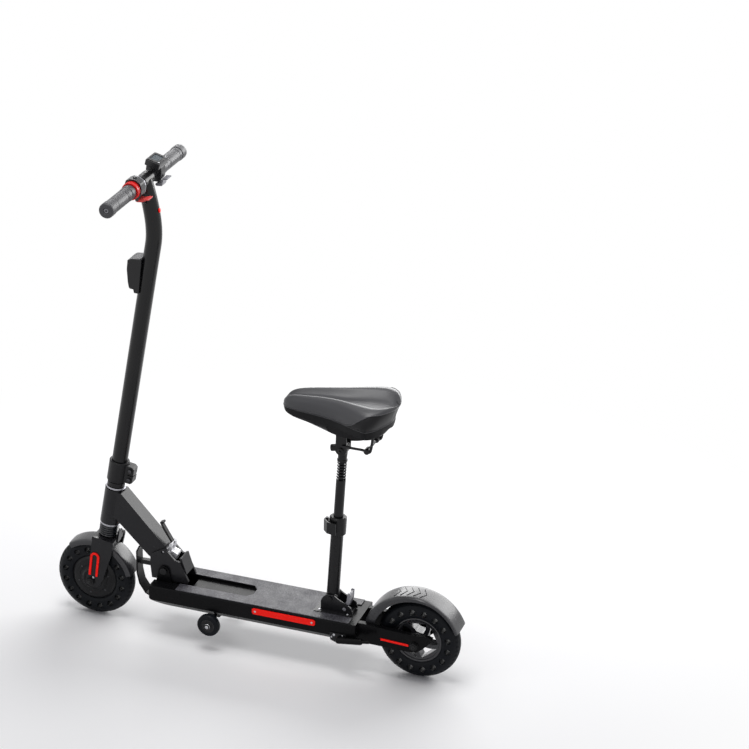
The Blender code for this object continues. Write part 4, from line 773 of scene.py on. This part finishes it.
# the latch is drawn from its pin, along the down tube and out of it
latchSettings = {
    "pin": (0.19825, 0.20711), "run": (-0.3747, 0.9271), "out": (0.9271, 0.3747),
    "strap": mm([(15.5, 11.8), (40, 7.2), (64, 3.4), (77, 3), (77.5, 13.2), (72.5, 13.6), (70, 8.2), (42, 12.2),
                 (15.5, 16.8)]),
    "strapHalf": 0.0062,
    "cheek": mm([(-5.8, -2), (-2, -5.8), (4, -5), (21.5, 10.8), (21.5, 16), (15, 16.2), (-4.5, 4.5)]),
    "cheekIn": 0.0123, "cheekOut": 0.0142,
    "bridge": mm([(15, 13.5), (21, 13.5), (21, 16.2), (15, 16.2)]), "bridgeHalf": 0.013,
}
s = latchSettings


def onLatch(outline):
    # from places along and out of the tube to the side view
    (x, z), (runX, runZ), (outX, outZ) = latchSettings["pin"], latchSettings["run"], latchSettings["out"]
    return [(x + runX * along + outX * out, z + runZ * along + outZ * out) for along, out in outline]


strap = pushAcross(onLatch(s["strap"]), s["strapHalf"], rounds=0.0012, segments=3)
newPiece("latchStrap", strap, "latch_handle", "black_metal", "latch_handle")
yoke = pushPair(onLatch(s["cheek"]), s["cheekIn"], s["cheekOut"], soft=0.0004, rounds=0.0016)
addInto(yoke, pushAcross(onLatch(s["bridge"]), s["bridgeHalf"], soft=0.0004),
        boltPair(at(s["pin"][0], 0, s["pin"][1]), s["cheekOut"], 0.0038, 0.0018))
newPiece("latchYoke", yoke, "latch_handle", "chrome_block")
newPiece("frameBolts", boltHead(at(0.1869, -0.021, 0.2103), -sideways, 0.0036, 0.0022), "front_frame", "steel")

print("casters")
casterSettings = {
    "centre": (0.3255, 0.0667), "in": 0.0655, "width": 0.019, "capGap": 0.0012,
    "tyre": mm([(17.2, 1.2), (20, 0.8), (24, 0.9), (26.2, 1.9), (27.4, 3.8), (27.9, 6.2), (28, 9.5), (27.9, 12.8),
                (27.4, 15.2), (26.2, 17.1), (24, 18.1), (20, 18.2), (17.2, 17.8)]),
    "hub": mm([(4.3, 0), (9.5, 0), (10, 0.6), (10.5, 2), (15, 2.4), (16, 1.2), (17.1, 1.2), (17.1, 17.8), (16, 17.8),
               (15, 16.6), (10.5, 17), (10, 18.4), (9.5, 19), (4.3, 19)]),
    "cap": mm([(0, 4), (3, 3.8), (5.5, 2.9), (7.2, 1.3), (7.5, 0.3), (0, 0.3)]),
}
s = casterSettings
for side, word in ((-1, "left"), (1, "right")):
    spot = at(s["centre"][0], side * s["in"], s["centre"][1])
    newPiece("casterTyre" + word.title(), spinProfile(s["tyre"], spot, sideways * side, ring=True),
             "caster_" + word, "tyre_rubber", "caster_tyre_" + word)
    newPiece("casterHub" + word.title(), spinProfile(s["hub"], spot, sideways * side, ring=True),
             "caster_" + word, "steel", "caster_hub_" + word, sharp=30, look="black_plastic")
    cap = [(r, s["width"] + s["capGap"] + t) for r, t in s["cap"]]
    newPiece("casterCap" + word.title(), spinProfile(cap, spot, sideways * side, 32), "front_frame", "steel")

print("stem and its clamp")
stemSettings = {
    "radius": 0.019, "straight": 0.745, "bend": 0.055, "bar": (0.148, 1.141), "joints": (0.1165, 0.3, 0.5, 0.7),
    "foot": mm([(0, -34.5), (12.2, -34.5), (12.2, -5.8), (16.5, -5.7), (16.5, 103), (20.8, 103.2), (21.5, 104),
                (21.5, 113), (20.6, 114.2), (19.2, 115), (19, 118), (0, 118)]),
    "sleeve": mm([(16.6, 21.6), (16.3, 22.6), (15.5, 23), (11.3, 23)]),
}
s = stemSettings
bar = at(s["bar"][0], 0, s["bar"][1])
bendStart, bendMiddle = onSteer(s["straight"]), onSteer(s["straight"] + s["bend"])


def onBend(t):
    # the stem's upper bend, from 0 at its start to 1 at the bar
    return bendStart * (1 - t) ** 2 + bendMiddle * 2 * t * (1 - t) + bar * t ** 2


stem = tube([onSteer(a) for a in s["joints"]] + [onBend(k / 16) for k in range(17)], s["radius"], 10)
addInto(stem, spinProfile(s["foot"], steerFoot, steerDir, 48),
        spinProfile(bothSides(s["sleeve"][::-1]), bar, sideways, 56, ring=True))
newPiece("stemTube", stem, "steering", "stem_paint", "stem")

clampSettings = {"middle": 0.1445, "grooveOut": (0.0275, 0.06), "grooveHalf": (0.0012, 0.003), "cut": 0.03,
                 "boltOut": 0.034, "boltSide": 0.0143, "boltsAlong": (-0.012, 0.012)}
s = clampSettings
clampMiddle = onSteer(s["middle"])
(near, far), (thin, wide) = s["grooveOut"], s["grooveHalf"]
corners = ((near, -thin), (far, -wide), (far, wide), (near, thin))
wedge = [clampMiddle + rearDir * out + steerDir * up for out, up in corners]
carve(softCopy("stemClamp", "stem_clamp", "steering", 0.0012, 3),
      pushAcross([(p.x - wheelShift, p.z) for p in wedge], s["cut"]))
clampBolts = bmesh.new()
for along in s["boltsAlong"]:
    spot = clampMiddle + rearDir * s["boltOut"] + steerDir * along
    addInto(clampBolts, boltPair(spot, s["boltSide"], 0.0043, 0.0016))
newPiece("clampBolts", clampBolts, "steering", "dark_steel")

boxSettings = {
    "outline": mm([(146.5, 956), (119, 953), (111.2, 948), (109, 928), (110.8, 897), (113, 883.5), (116, 880.5),
                   (124, 880.5), (125.5, 871.5), (137.5, 871)]),
    "half": 0.0215,
    "band": mm([(144, 957.8), (119, 955), (111.2, 950.2), (110.4, 947), (113, 946.2), (144, 950.5)]),
    "bandHalf": 0.0205,
}
s = boxSettings
stemBox = pushAcross(s["outline"], s["half"], soft=0.0028, rounds=0.002, segments=4)
newPiece("stemBox", stemBox, "steering", "black_plastic", "stem_box")
band = pushAcross(s["band"], s["bandHalf"], soft=0.0016, rounds=0.0016, segments=3)
newPiece("stemBoxBand", band, "steering", "black_plastic", look="grip_rubber")

beadSettings = {"share": 0.6, "form": mm([(0, 19.3), (5.2, 19.3), (5.5, 19.6), (5.5, 20.2), (4.7, 20.7), (2.6, 21),
                                           (0, 21.1)])}
s = beadSettings
beadRun = ((bendMiddle - bendStart) * (1 - s["share"]) + (bar - bendMiddle) * s["share"]).normalized()
lens = spinProfile(s["form"], onBend(s["share"]), Vector((beadRun.z, 0, -beadRun.x)), 32)
newPiece("stemReflector", lens, "steering", "lens_red", "stem_reflector")

print("handlebar")
barSettings = {"end": mm([(10, 0), (10.8, 1), (11, 2.2)]), "half": 0.205, "gripIn": 0.08}
s = barSettings
barEnd = [(r, s["half"] - t) for r, t in s["end"]]
newPiece("handlebarTube", spinProfile(bothSides([(0, s["half"])] + barEnd), bar, sideways, 48), "steering",
         "bar_metal", "handlebar")

# the grips' sizes are in millimetres
gripSettings = {"radius": 17.2, "length": 128, "bore": 11.3, "grooves": (33, 38.5, 89.5)}
r, end, bore = gripSettings["radius"], gripSettings["length"], gripSettings["bore"]
gripForm = [(bore, 0), (r - 1.4, 0), (r - 0.3, 0.9), (r, 2.2), (r, 16.8), (r - 0.4, 17.6), (r - 1, 18.2),
            (r - 1, 19.2), (r - 0.6, 20)]
for t in gripSettings["grooves"]:
    gripForm += [(r - 0.6, t), (r - 1.2, t + 0.6), (r - 1.2, t + 1.4), (r - 0.6, t + 2)]
gripForm += [(r - 0.6, end - 25.8), (r - 1.1, end - 25.2), (r - 1.1, end - 24.4), (r + 0.3, end - 23.4),
             (r + 0.5, end - 20), (r + 0.5, end - 6), (r + 0.2, end - 3), (r - 0.8, end - 1), (r - 2.6, end),
             (7.2, end), (6.2, end - 1), (5, end - 2.6), (bore, end - 2.8)]
gripForm, plugForm = mm(gripForm), mm([(0, end - 2.2), (2.2, end - 2.2), (3, end - 2.7), (0, end - 3)])
for side, word in ((-1, "left"), (1, "right")):
    spot = bar + sideways * side * s["gripIn"]
    newPiece("grip" + word.title(), spinProfile(gripForm, spot, sideways * side, 56, ring=True), "steering",
             "grip_rubber", "grip_" + word, sharp=45)
    newPiece("gripPlug" + word.title(), spinProfile(plugForm, spot, sideways * side, 24), "steering", "dark_steel")

redSettings = {
    "at": 0.0647,
    "form": mm([(11.3, 0), (19, 0), (19.9, 0.5), (20.5, 1.6), (20.5, 5), (19.9, 5.6), (19.9, 6.4), (20.5, 7),
                (20.5, 12.8), (20, 14.2), (19, 15), (11.3, 15)]),
}
redRing = spinProfile(redSettings["form"], bar - sideways * redSettings["at"], -sideways, 56, ring=True)
newPiece("redCollar", redRing, "steering", "red_plastic", "red_ring", sharp=30)

# the outlines are in millimetres from the bar's middle
controlSettings = {
    "display": [(-16.5, 7), (-14.5, 20), (-7, 27.5), (12, 27.5), (21.5, 17), (22.5, 4), (20.5, -11), (15, -18.5),
                (-8, -18.5), (-16.5, -10)],
    "displayFrom": 0.0462, "displayTo": 0.0718, "bore": 0.0113, "boreTo": 0.1,
    "band": [(-19.3, 9), (-15.7, 19.8), (-5.8, 24.5), (6.3, 24.2), (19.2, 15.6), (22.5, 4), (20.5, -11), (15, -18.5),
             (-8, -18.5), (-16.5, -10)],
    "bandGrowth": 1.02, "bandFrom": -0.043, "bandTo": -0.0392, "bandBore": 0.0205, "bandBoreAt": 0.041,
    "bandBoreHalf": 0.02,
}


def roundBar(outline, growth=1.0):
    # an outline placed round the bar, grown where it has to stand proud
    return [(stemSettings["bar"][0] + x * growth, stemSettings["bar"][1] + z * growth) for x, z in mm(outline)]


s = controlSettings
softCopy("controlHousing", "control_box", "steering", 0.002, 4)
displayForm = pushOutline(roundBar(s["display"]), s["displayFrom"], s["displayTo"], soft=0.0016, rounds=0.0022,
                          segments=3)
displayBody = newPiece("displayClamp", displayForm, "steering", "housing_plastic", "display_housing")
carve(displayBody, spinProfile(rod(s["bore"], 0, s["boreTo"]), bar, sideways, 48))
softCopy("brakePaddle", "brake_lever", "brake_lever", 0.0013, 4)
softCopy("throttlePaddle", "throttle_lever", "throttle_lever", 0.0013, 4)
softCopy("modeButton", "mode_button", "mode_button", 0.0006, 3)
bandForm = pushOutline(roundBar(s["band"], s["bandGrowth"]), s["bandFrom"], s["bandTo"], rounds=0.002, segments=3)
silverBand = newPiece("controlBand", bandForm, "steering", "bar_metal")
carve(silverBand, spinProfile(rod(s["bandBore"], -s["bandBoreHalf"], s["bandBoreHalf"]),
                              bar - sideways * s["bandBoreAt"], sideways, 48))

cableRoute = [at(*p) for p in (
    (0.14, -0.0382, 1.1265), (0.1403, -0.0332, 1.1257), (0.1435, -0.029, 1.12), (0.1506, -0.0284, 1.109),
    (0.1568, -0.0274, 1.1003), (0.1602, -0.0231, 1.0957), (0.1602, -0.0196, 1.0957))]
cableRadius = 0.0022
cableLine = smoothLine(cableRoute, 8)
cablePiece = newPiece("controlCable", tube(cableLine, cableRadius), "steering", "grip_rubber", "control_cable",
                      sharp=60, look="black_plastic")

# the display's face: pads are given by their ends along it and across it, their depth and their lift
faceTilt = radians(15)
faceAlong = Vector((cos(faceTilt), 0, -sin(faceTilt)))
faceUp = Vector((sin(faceTilt), 0, cos(faceTilt)))
faceMiddle = at(0.1605, 0, 1.1792)


def onFace(along, across, lift):
    return faceMiddle + faceAlong * along + sideways * across + faceUp * lift


def facePad(along, across, depth, lift, soft):
    ends = ((0, 0), (1, 0), (1, 1), (0, 1))
    bm = bmesh.new()
    verts = [bm.verts.new(onFace(along[i], across[j], lift)) for i, j in ends]
    bm.faces.new(verts)
    soften(bm, verts, 0.0022, 4, "VERTICES")
    thicken(bm, faceUp * depth)
    soften(bm, sharpEdges(bm, 60), soft, 2)
    return bm


headForm = facePad((-0.018, 0.018), (0.0215, 0.072), 0.015, -0.015, 0.0022)
newPiece("displayHead", headForm, "steering", "housing_plastic")
bezelForm = facePad((-0.0158, 0.0156), (0.0238, 0.0697), 0.0012, -0.0002, 0.0004)
bezel = newPiece("displayBezel", bezelForm, "steering", "black_plastic")
carve(bezel, facePad((-0.0118, 0.0092), (0.0312, 0.0622), 0.006, -0.002, 0.0002))
screenForm = facePad((-0.0117, 0.0091), (0.0313, 0.0621), 0.0008, -0.0006, 0.0002)
newPiece("displayScreen", screenForm, "steering", "screen", "display_screen")
screws = bmesh.new()
for across in (0.0272, 0.0662):
    addInto(screws, boltHead(onFace(0.0124, across, 0.001), faceUp, 0.0021, 0.0008))
newPiece("displayScrews", screws, "steering", "steel")

print("deck")
softCopy("deckShell", "deck_shell", "deck", 0.0016, 3, turn=24, look="deck_black")
softCopies("deck", [
    ("deckMat", "grip_mat", 0.0006, 2),
    ("deckCover", "deck_cover", 0.0006, 2),
    ("sideReflectorLeft", "side_reflector_left", 0.0008, 3),
    ("sideReflectorRight", "side_reflector_right", 0.0008, 3),
    ("armStripeLeft", "arm_stripe_left", 0.0004, 2),
    ("armStripeRight", "arm_stripe_right", 0.0004, 2),
    ("standBracket", "kickstand_bracket", 0.0006, 2),
])

standSettings = {
    "from": (0.655, 0.0925), "to": (0.7115, 0.1005), "side": -0.0718,
    "form": mm([(0, -7.8), (5.2, -7.6), (7.2, -5.8), (7.8, -3), (7.8, 52), (7.2, 55), (5.2, 57.2), (4.2, 58),
                (4, 70), (3.4, 75.2), (2.2, 76.8), (0, 77)]),
}
s = standSettings
(fromX, fromZ), (toX, toZ) = s["from"], s["to"]
standRun = (at(toX, 0, toZ) - at(fromX, 0, fromZ)).normalized()
newPiece("kickstandLeg", spinProfile(s["form"], at(fromX, s["side"], fromZ), standRun, 32), "kickstand",
         "black_metal", "kickstand_leg", sharp=30, look="deck_black")

footSettings = {
    "plate": mm([(576, 134.2), (664, 134.2), (664, 137.8), (576, 137.8)]), "plateHalf": 0.034,
    "cheek": mm([(589, 136.2), (589, 161), (595, 171.5), (603, 178.5), (621, 178.5), (632, 170), (664, 153),
                 (669, 136.2)]),
    "cheekIn": 0.0156, "cheekOut": 0.0203,
    "front": mm([(589, 137), (591.6, 137), (591.6, 156), (589, 156)]), "frontHalf": 0.016,
}
s = footSettings
foot = pushAcross(s["plate"], s["plateHalf"])
addInto(foot, pushPair(s["cheek"], s["cheekIn"], s["cheekOut"], soft=0.0007, rounds=0.0022, segments=3),
        boltPair(postFoot, s["cheekOut"], 0.0058, 0.0026),
        pushAcross(s["front"], s["frontHalf"], soft=0.0006))
newPiece("seatFoot", foot, "deck", "frame_paint", "seat_base")

catchSettings = {
    "cheek": mm([(643.2, 145), (648, 141.8), (652.8, 145), (659.6, 164), (661, 186.2), (659, 188.4), (653.5, 188),
                 (652, 170)]),
    "cheekIn": 0.0108, "cheekOut": 0.0148,
    "grip": mm([(655.5, 166), (659, 166), (660.2, 185.8), (656, 186.6)]), "gripHalf": 0.012,
    "pin": (0.648, 0.1475), "pinRadius": 0.0024, "pinHalf": 0.0206,
}
s = catchSettings
catchPin = at(s["pin"][0], 0, s["pin"][1])
catchForm = pushPair(s["cheek"], s["cheekIn"], s["cheekOut"], soft=0.0006, rounds=0.0016)
addInto(catchForm, boltPair(catchPin, s["pinHalf"], 0.0042, 0.002),
        pushAcross(s["grip"], s["gripHalf"], soft=0.0006),
        spinProfile(rod(s["pinRadius"], -s["pinHalf"], s["pinHalf"]), catchPin, sideways, 20))
newPiece("seatCatch", catchForm, "seat_catch", "black_metal", "seat_catch", look="lever_grey")

# places, then radius and height
deckScrewSettings = {
    "pairs": [(0.44, 0.1215), (0.583, 0.1215)], "pairSide": 0.0652,
    "left": [(0.639, 0.101, 0.0032), (0.633, 0.0945, 0.0022), (0.66, 0.102, 0.002)], "leftSide": 0.0651,
    "top": [(0.587, 0.025), (0.587, -0.025), (0.658, 0.0255), (0.658, -0.0255)], "topHeight": 0.1383,
}
s = deckScrewSettings
deckScrews = bmesh.new()
for x, z in s["pairs"]:
    addInto(deckScrews, boltPair(at(x, 0, z), s["pairSide"], 0.0026, 0.001))
for x, z, r in s["left"]:
    addInto(deckScrews, boltHead(at(x, -s["leftSide"], z), -sideways, r, 0.0011))
for x, y in s["top"]:
    addInto(deckScrews, boltHead(at(x, y, s["topHeight"]), (0, 0, 1), 0.0032, 0.0014))
newPiece("deckScrews", deckScrews, "deck", "steel")

print("seat post")
postSettings = {
    "lower": mm([(11.8, 24.5), (11.8, 24), (0, 24), (0, 0), (12, 0), (14.2, 1), (15, 3), (15, 165.5), (14.6, 166.3),
                 (13.6, 166.3), (13.6, 24.5)]),
    "cross": mm([(0, 15), (14.4, 15), (15.1, 14.3)]),
    "bolt": mm([(0, 24.6), (5.6, 24.4), (6.2, 23.6), (6.2, 21.6), (4, 21.4)]),
    "upper": mm([(6.3, 240), (6.3, 130.2), (10.6, 130), (11.4, 130.8), (11.4, 308.8), (10.8, 309.8), (6.3, 310)]),
    "springFrom": 0.31, "springTo": 0.358, "springEnds": (0.0022, 0.0019), "turns": 6, "perTurn": 28,
    "coil": 0.0095, "wire": 0.0019, "keep": 0.66,
}
s = postSettings
lower = spinProfile(s["lower"], postFoot, seatDir, 56)
addInto(lower, spinProfile(bothSides(s["cross"]), postFoot, sideways, 48),
        spinProfile(bothSides(s["bolt"]), postFoot, sideways, 32))
newPiece("lowerPost", lower, "lower_post", "black_metal", "lower_post", sharp=30)
newPiece("upperPost", spinProfile(s["upper"], postFoot, seatDir, 56, ring=True), "upper_post", "black_metal",
         "upper_post", sharp=30)
softCopy("guideSleeve", "guide_sleeve", "lower_post", 0.0002)
softCopy("collarWithLugs", "seat_collar", "seat_collar", 0.0009, 3)
softCopy("seatClip", "seat_clip", "seat_clip", 0.0007, 3)
coilLow, coilHigh = s["springFrom"] + s["springEnds"][0], s["springTo"] - s["springEnds"][1]
coilOut = Vector((1, 0, 0)) - seatDir * seatDir.x
coilOut.normalize()
coilSide = seatDir.cross(coilOut)
coil = []
for k in range(s["turns"] * s["perTurn"] + 1):
    a = 2 * pi * k / s["perTurn"]
    up = coilLow + (coilHigh - coilLow) * k / (s["turns"] * s["perTurn"])
    coil.append(onPost(up) + (coilOut * cos(a) + coilSide * sin(a)) * s["coil"])
springPiece = newPiece("seatSpring", tube(coil, s["wire"]), "upper_post", "spring_steel", "seat_spring", sharp=60)
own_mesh(springPiece)
softCopy("saddleClamp", "seat_clamp", "seat_clamp", 0.0009, 3)

print("saddle")
# stations along the saddle: place, half width, rise of the pad and depth of the base
saddleSettings = {
    "stations": mm([
        (-141, 14, 12, 9.5), (-134, 23, 22, 15.5), (-120, 30, 29, 20), (-97, 36, 34, 26), (-67, 41, 38, 33.5),
        (-32, 48, 42, 42), (3, 60, 44.5, 50), (33, 75, 46, 51.5), (63, 89, 47, 49), (86, 95, 47, 44.5),
        (101, 87, 46.7, 39.5), (112, 75, 46.2, 33), (122, 54, 45, 24), (130, 30, 43, 15)]),
    "middle": 0.632, "split": 0.65, "dish": 0.017, "along": 6, "around": 6, "smoothing": 12,
    "backFrom": 0.68, "backOver": 0.075, "backTop": 0.694, "back": 0.34,
    # share of the half width, share of the rise and share of the dish, from the lower edge up to the middle
    "pad": [(0.93, 0, 0), (0.985, 0.17, 0), (1, 0.34, 0), (0.982, 0.53, 0), (0.925, 0.72, 0), (0.825, 0.88, 0),
            (0.7, 0.975, 0), (0.57, 1, 0), (0.43, 1, 0.4), (0.22, 1, 0.92), (0, 1, 1)],
    "skirtFrom": 0.652, "skirtTo": 0.73, "skirtHeight": 0.84, "seam": 0.0012, "piping": 0.0009,
}
s = saddleSettings
stations = smoothLine(s["stations"], s["along"])
first, last = stations[0], stations[-1]


def tipStation(station, along, narrow, rise, depth):
    return Vector((station[0] + along, station[1] * narrow, station[2] + rise, station[3] + depth))


stations = [
    tipStation(first, -0.0026, 0.45, -0.003, -0.004), tipStation(first, -0.0014, 0.78, -0.001, -0.001), *stations,
    tipStation(last, 0.0024, 0.62, -0.0012, 0), tipStation(last, 0.0036, 0.28, -0.0026, 0)]


def easeIn(x, start, over):
    # 0 before the start, 1 after it, and smooth between
    t = min(max((x - start) / over, 0), 1)
    return t * t * (3 - 2 * t)


def leaned(p):
    # the back of the saddle slopes forward as it goes down
    s = saddleSettings
    drop = max(s["backTop"] - max(p.z, s["split"]), 0)
    return Vector((p.x - s["back"] * drop * easeIn(p.x, s["backFrom"], s["backOver"]), p.y, p.z))


def cushionSide(station):
    # from the lower edge of the pad up to the middle of the seat
    s = saddleSettings
    along, w, rise, _ = station
    x, low, dish = s["middle"] + along, s["split"] + 0.0003, s["dish"] * min(1.0, w / 0.06)
    return [(x, w * wide, low + rise * high - dish * sunk) for wide, high, sunk in s["pad"]]


def baseSide(station):
    # from the upper edge of the base down to its keel
    along, w, _, depth = station
    x, split = saddleSettings["middle"] + along, saddleSettings["split"]
    low = split - max(depth, 0.0012)
    keel = min(w * 0.55, 0.028)
    wing = min(max(split - 0.018, low + 0.004), split - 0.001)
    shoulder = (w * 0.82, (wing + low) / 2) if w < 0.05 else (keel + 0.012, wing - 0.003)
    return [(x, w * 0.935, split), (x, w * 0.93, wing + 0.0008), (x, *shoulder), (x, keel, low), (x, 0, low)]


def loftSides(sideOf, per):
    # closed rings from one half outline each, bridged into one form
    bm = bmesh.new()
    loops = []
    for station in stations:
        half = [leaned(p) for p in smoothLine(sideOf(station), per)]
        verts = [bm.verts.new(at(*p)) for p in half + [Vector((p.x, -p.y, p.z)) for p in half[-2::-1]]]
        loops.append([bm.edges.new(pair) for pair in zip(verts, verts[1:] + verts[:1])])
    for a, b in zip(loops, loops[1:]):
        bmesh.ops.bridge_loops(bm, edges=a + b)
    bmesh.ops.holes_fill(bm, edges=loops[0] + loops[-1], sides=0)
    bmesh.ops.recalc_face_normals(bm, faces=bm.faces)
    return bm


def riseAt(x):
    # height of the pad's rim above its lower edge, along the saddle
    x -= saddleSettings["middle"]
    return next((b[2] for a, b in zip(stations, stations[1:]) if a[0] <= x <= b[0]), stations[-1][2])


def skirtShare(x):
    # how much of that height the darker skirt takes up
    s = saddleSettings
    share = s["skirtHeight"] * easeIn(x, s["skirtFrom"], s["skirtTo"] - s["skirtFrom"])
    return share if x > s["skirtFrom"] else -0.05


padForm = loftSides(cushionSide, s["around"])
for k in range(s["smoothing"]):
    above = [v for v in padForm.verts if v.co.z > s["split"] + 0.004]
    bmesh.ops.smooth_vert(padForm, verts=above, factor=0.5, use_axis_x=True, use_axis_y=True, use_axis_z=True)
for face in padForm.faces:
    centre = face.calc_center_median()
    x = centre.x - wheelShift
    if centre.z - s["split"] < riseAt(x) * skirtShare(x) and face.normal.z < 0.75:
        face.material_index = 1
pad = newPiece("saddlePad", padForm, "saddle", "saddle_cover", "saddle_cushion", sharp=60, flat=False)
pad.data.materials.append(finish["saddle_skirt"])
newPiece("saddleShell", loftSides(baseSide, 1), "saddle", "saddle_plastic", "saddle_base", sharp=25, flat=False)


def padPoint(station, share):
    # a point of the near side of the pad at a share of its height
    half = smoothLine(cushionSide(station)[:8], 8)
    low, high = half[0].z, half[-1].z
    return next((p for p in half if p.z >= low + share * (high - low)), half[-1])


edgeLine = [padPoint(q, 0.0) for q in stations]
seamLine = [padPoint(q, skirtShare(q[0] + s["middle"])) for q in stations if q[0] + s["middle"] >= s["skirtFrom"]]
piping = bmesh.new()
for line, r in ((edgeLine, s["piping"]), (seamLine, s["seam"])):
    near = [leaned(p) + sideways * 0.0003 for p in line]
    addInto(piping, tube([at(*p) for p in near] + [at(p.x, -p.y, p.z) for p in near[::-1]], r))
newPiece("saddleSeam", piping, "saddle", "saddle_plastic", sharp=60, look="grip_rubber")

earSettings = {"at": 0.3925, "radius": 0.0138, "cheekIn": 0.0134, "cheekOut": 0.0176, "top": 0.61}
s = earSettings
tiltAt = onPost(s["at"])
x, z = tiltAt.x - wheelShift, tiltAt.z
bow = [pi * (1.05 + 0.9 * q / 12) for q in range(13)]
ear = [(x - 0.012, s["top"]), (x - 0.0132, z)] + [(x + s["radius"] * cos(a), z + s["radius"] * sin(a)) for a in bow]
ear += [(x + 0.0132, z), (x + 0.0135, s["top"])]
ears = addInto(pushPair(ear, s["cheekIn"], s["cheekOut"]), boltPair(tiltAt, s["cheekOut"], 0.0066, 0.0036))
newPiece("saddleEars", ears, "saddle", "black_metal")

railSettings = {
    "start": [(0.004, 0.019, 0.012), (0.03, 0.024, 0.014)],
    "route": [(0.69, 0.034, 0.579), (0.702, 0.0365, 0.577), (0.711, 0.0375, 0.583), (0.716, 0.036, 0.626)],
    "thick": 0.0032, "axle": (0.702, 0.579),
    "roller": mm([(0, 43), (4, 43), (6.8, 41.5), (7.2, 39), (7.2, 25), (6.4, 23.2), (3.4, 23)]),
}
s = railSettings
rails = spinProfile(bothSides(s["roller"]), at(s["axle"][0], 0, s["axle"][1]), sideways, 32)
for side in (-1, 1):
    route = [Vector((tiltAt.x + x, side * y, tiltAt.z + z)) for x, y, z in s["start"]]
    route += [at(x, side * y, z) for x, y, z in s["route"]]
    addInto(rails, tube(smoothLine(route, 8), s["thick"], 5))
newPiece("saddleRails", rails, "saddle", "spring_steel", sharp=60)

print("studio")
floorSettings = {"size": 40, "drop": 0.0005, "tone": 0.98, "shadowTo": 0.7, "whiteFrom": 1.6}
s = floorSettings
floorData = bmesh.new()
bmesh.ops.create_grid(floorData, x_segments=1, y_segments=1, size=s["size"])
floorMesh = bpy.data.meshes.new("floor")
floorData.to_mesh(floorMesh)
floorData.free()
floor = bpy.data.objects.new("floor", floorMesh)
bpy.context.scene.collection.objects.link(floor)
floor.location.z = cadLow.z - s["drop"]

# a pale floor that keeps the shadow near the object and turns plain white further out
floorLook = bpy.data.materials.new("paleFloor")
floorLook.use_nodes = True
tree = floorLook.node_tree
pale = tree.nodes["Principled BSDF"]
pale.inputs["Base Color"].default_value = (s["tone"], s["tone"], s["tone"], 1)
pale.inputs["Roughness"].default_value = 0.9
pale.inputs["Specular IOR Level"].default_value = 0.0
glow = addNode(tree, "Emission", {"Strength": 1.0})
rays = addNode(tree, "LightPath")
seen = addNode(tree, "Math", operation="MAXIMUM")
places = addNode(tree, "TexCoord")
reach = addNode(tree, "VectorMath", operation="LENGTH")
fade = addNode(tree, "MapRange", {"From Min": s["shadowTo"], "From Max": s["whiteFrom"]},
               interpolation_type="SMOOTHSTEP")
share = addNode(tree, "Math", operation="MULTIPLY")
blend = addNode(tree, "MixShader")
wire(tree, [
    (rays, "Is Camera Ray", seen, 0), (rays, "Is Glossy Ray", seen, 1), (places, "Object", reach, 0),
    (reach, "Value", fade, "Value"), (fade, "Result", share, 0), (seen, "Value", share, 1),
    (share, "Value", blend, "Fac"), (pale, "BSDF", blend, 1), (glow, "Emission", blend, 2),
    (blend, "Shader", tree.nodes["Material Output"], "Surface"),
])
floorMesh.materials.append(floorLook)

# the world lights the object dimly, and shows white to the camera, in gloss and through glass
world = bpy.data.worlds.new("studio")
bpy.context.scene.world = world
world.use_nodes = True
tree = world.node_tree
dim = tree.nodes["Background"]
dim.inputs["Color"].default_value = (0.93, 0.93, 1.0, 1)
dim.inputs["Strength"].default_value = 0.22
bright = addNode(tree, "Background", {"Color": (1, 1, 1, 1), "Strength": 1.0})
rays = addNode(tree, "LightPath")
direct = addNode(tree, "Math", operation="MAXIMUM")
seen = addNode(tree, "Math", operation="MAXIMUM")
choose = addNode(tree, "MixShader")
wire(tree, [
    (rays, "Is Camera Ray", direct, 0), (rays, "Is Glossy Ray", direct, 1), (direct, "Value", seen, 0),
    (rays, "Is Transmission Ray", seen, 1), (seen, "Value", choose, "Fac"), (dim, "Background", choose, 1),
    (bright, "Background", choose, 2), (choose, "Shader", tree.nodes["World Output"], "Surface"),
])

# place, aim, size across and up, power
lampSettings = {
    "overhead": ((-0.25, -0.1, 5.2), (0, 0, 0), (2.6, 2.6), 125),
    "behind": ((0.35, 3.1, 1.45), (0, 0, 0.4), (4.4, 1.6), 125),
    "frontFill": ((-2.6, -2.4, 2.4), (0, 0, 0.5), (1.4, 1.8), 6),
}
for name, (place, aim, size, power) in lampSettings.items():
    lampData = bpy.data.lights.new(name, "AREA")
    lampData.shape = "RECTANGLE"
    lampData.size, lampData.size_y = size
    lampData.energy = power
    lamp = bpy.data.objects.new(name, lampData)
    lamp.location = place
    lamp.rotation_euler = (Vector(aim) - Vector(place)).to_track_quat("-Z", "Y").to_euler()
    lamp.visible_camera = False
    bpy.context.scene.collection.objects.link(lamp)
bpy.context.scene.view_settings.view_transform = "Standard"
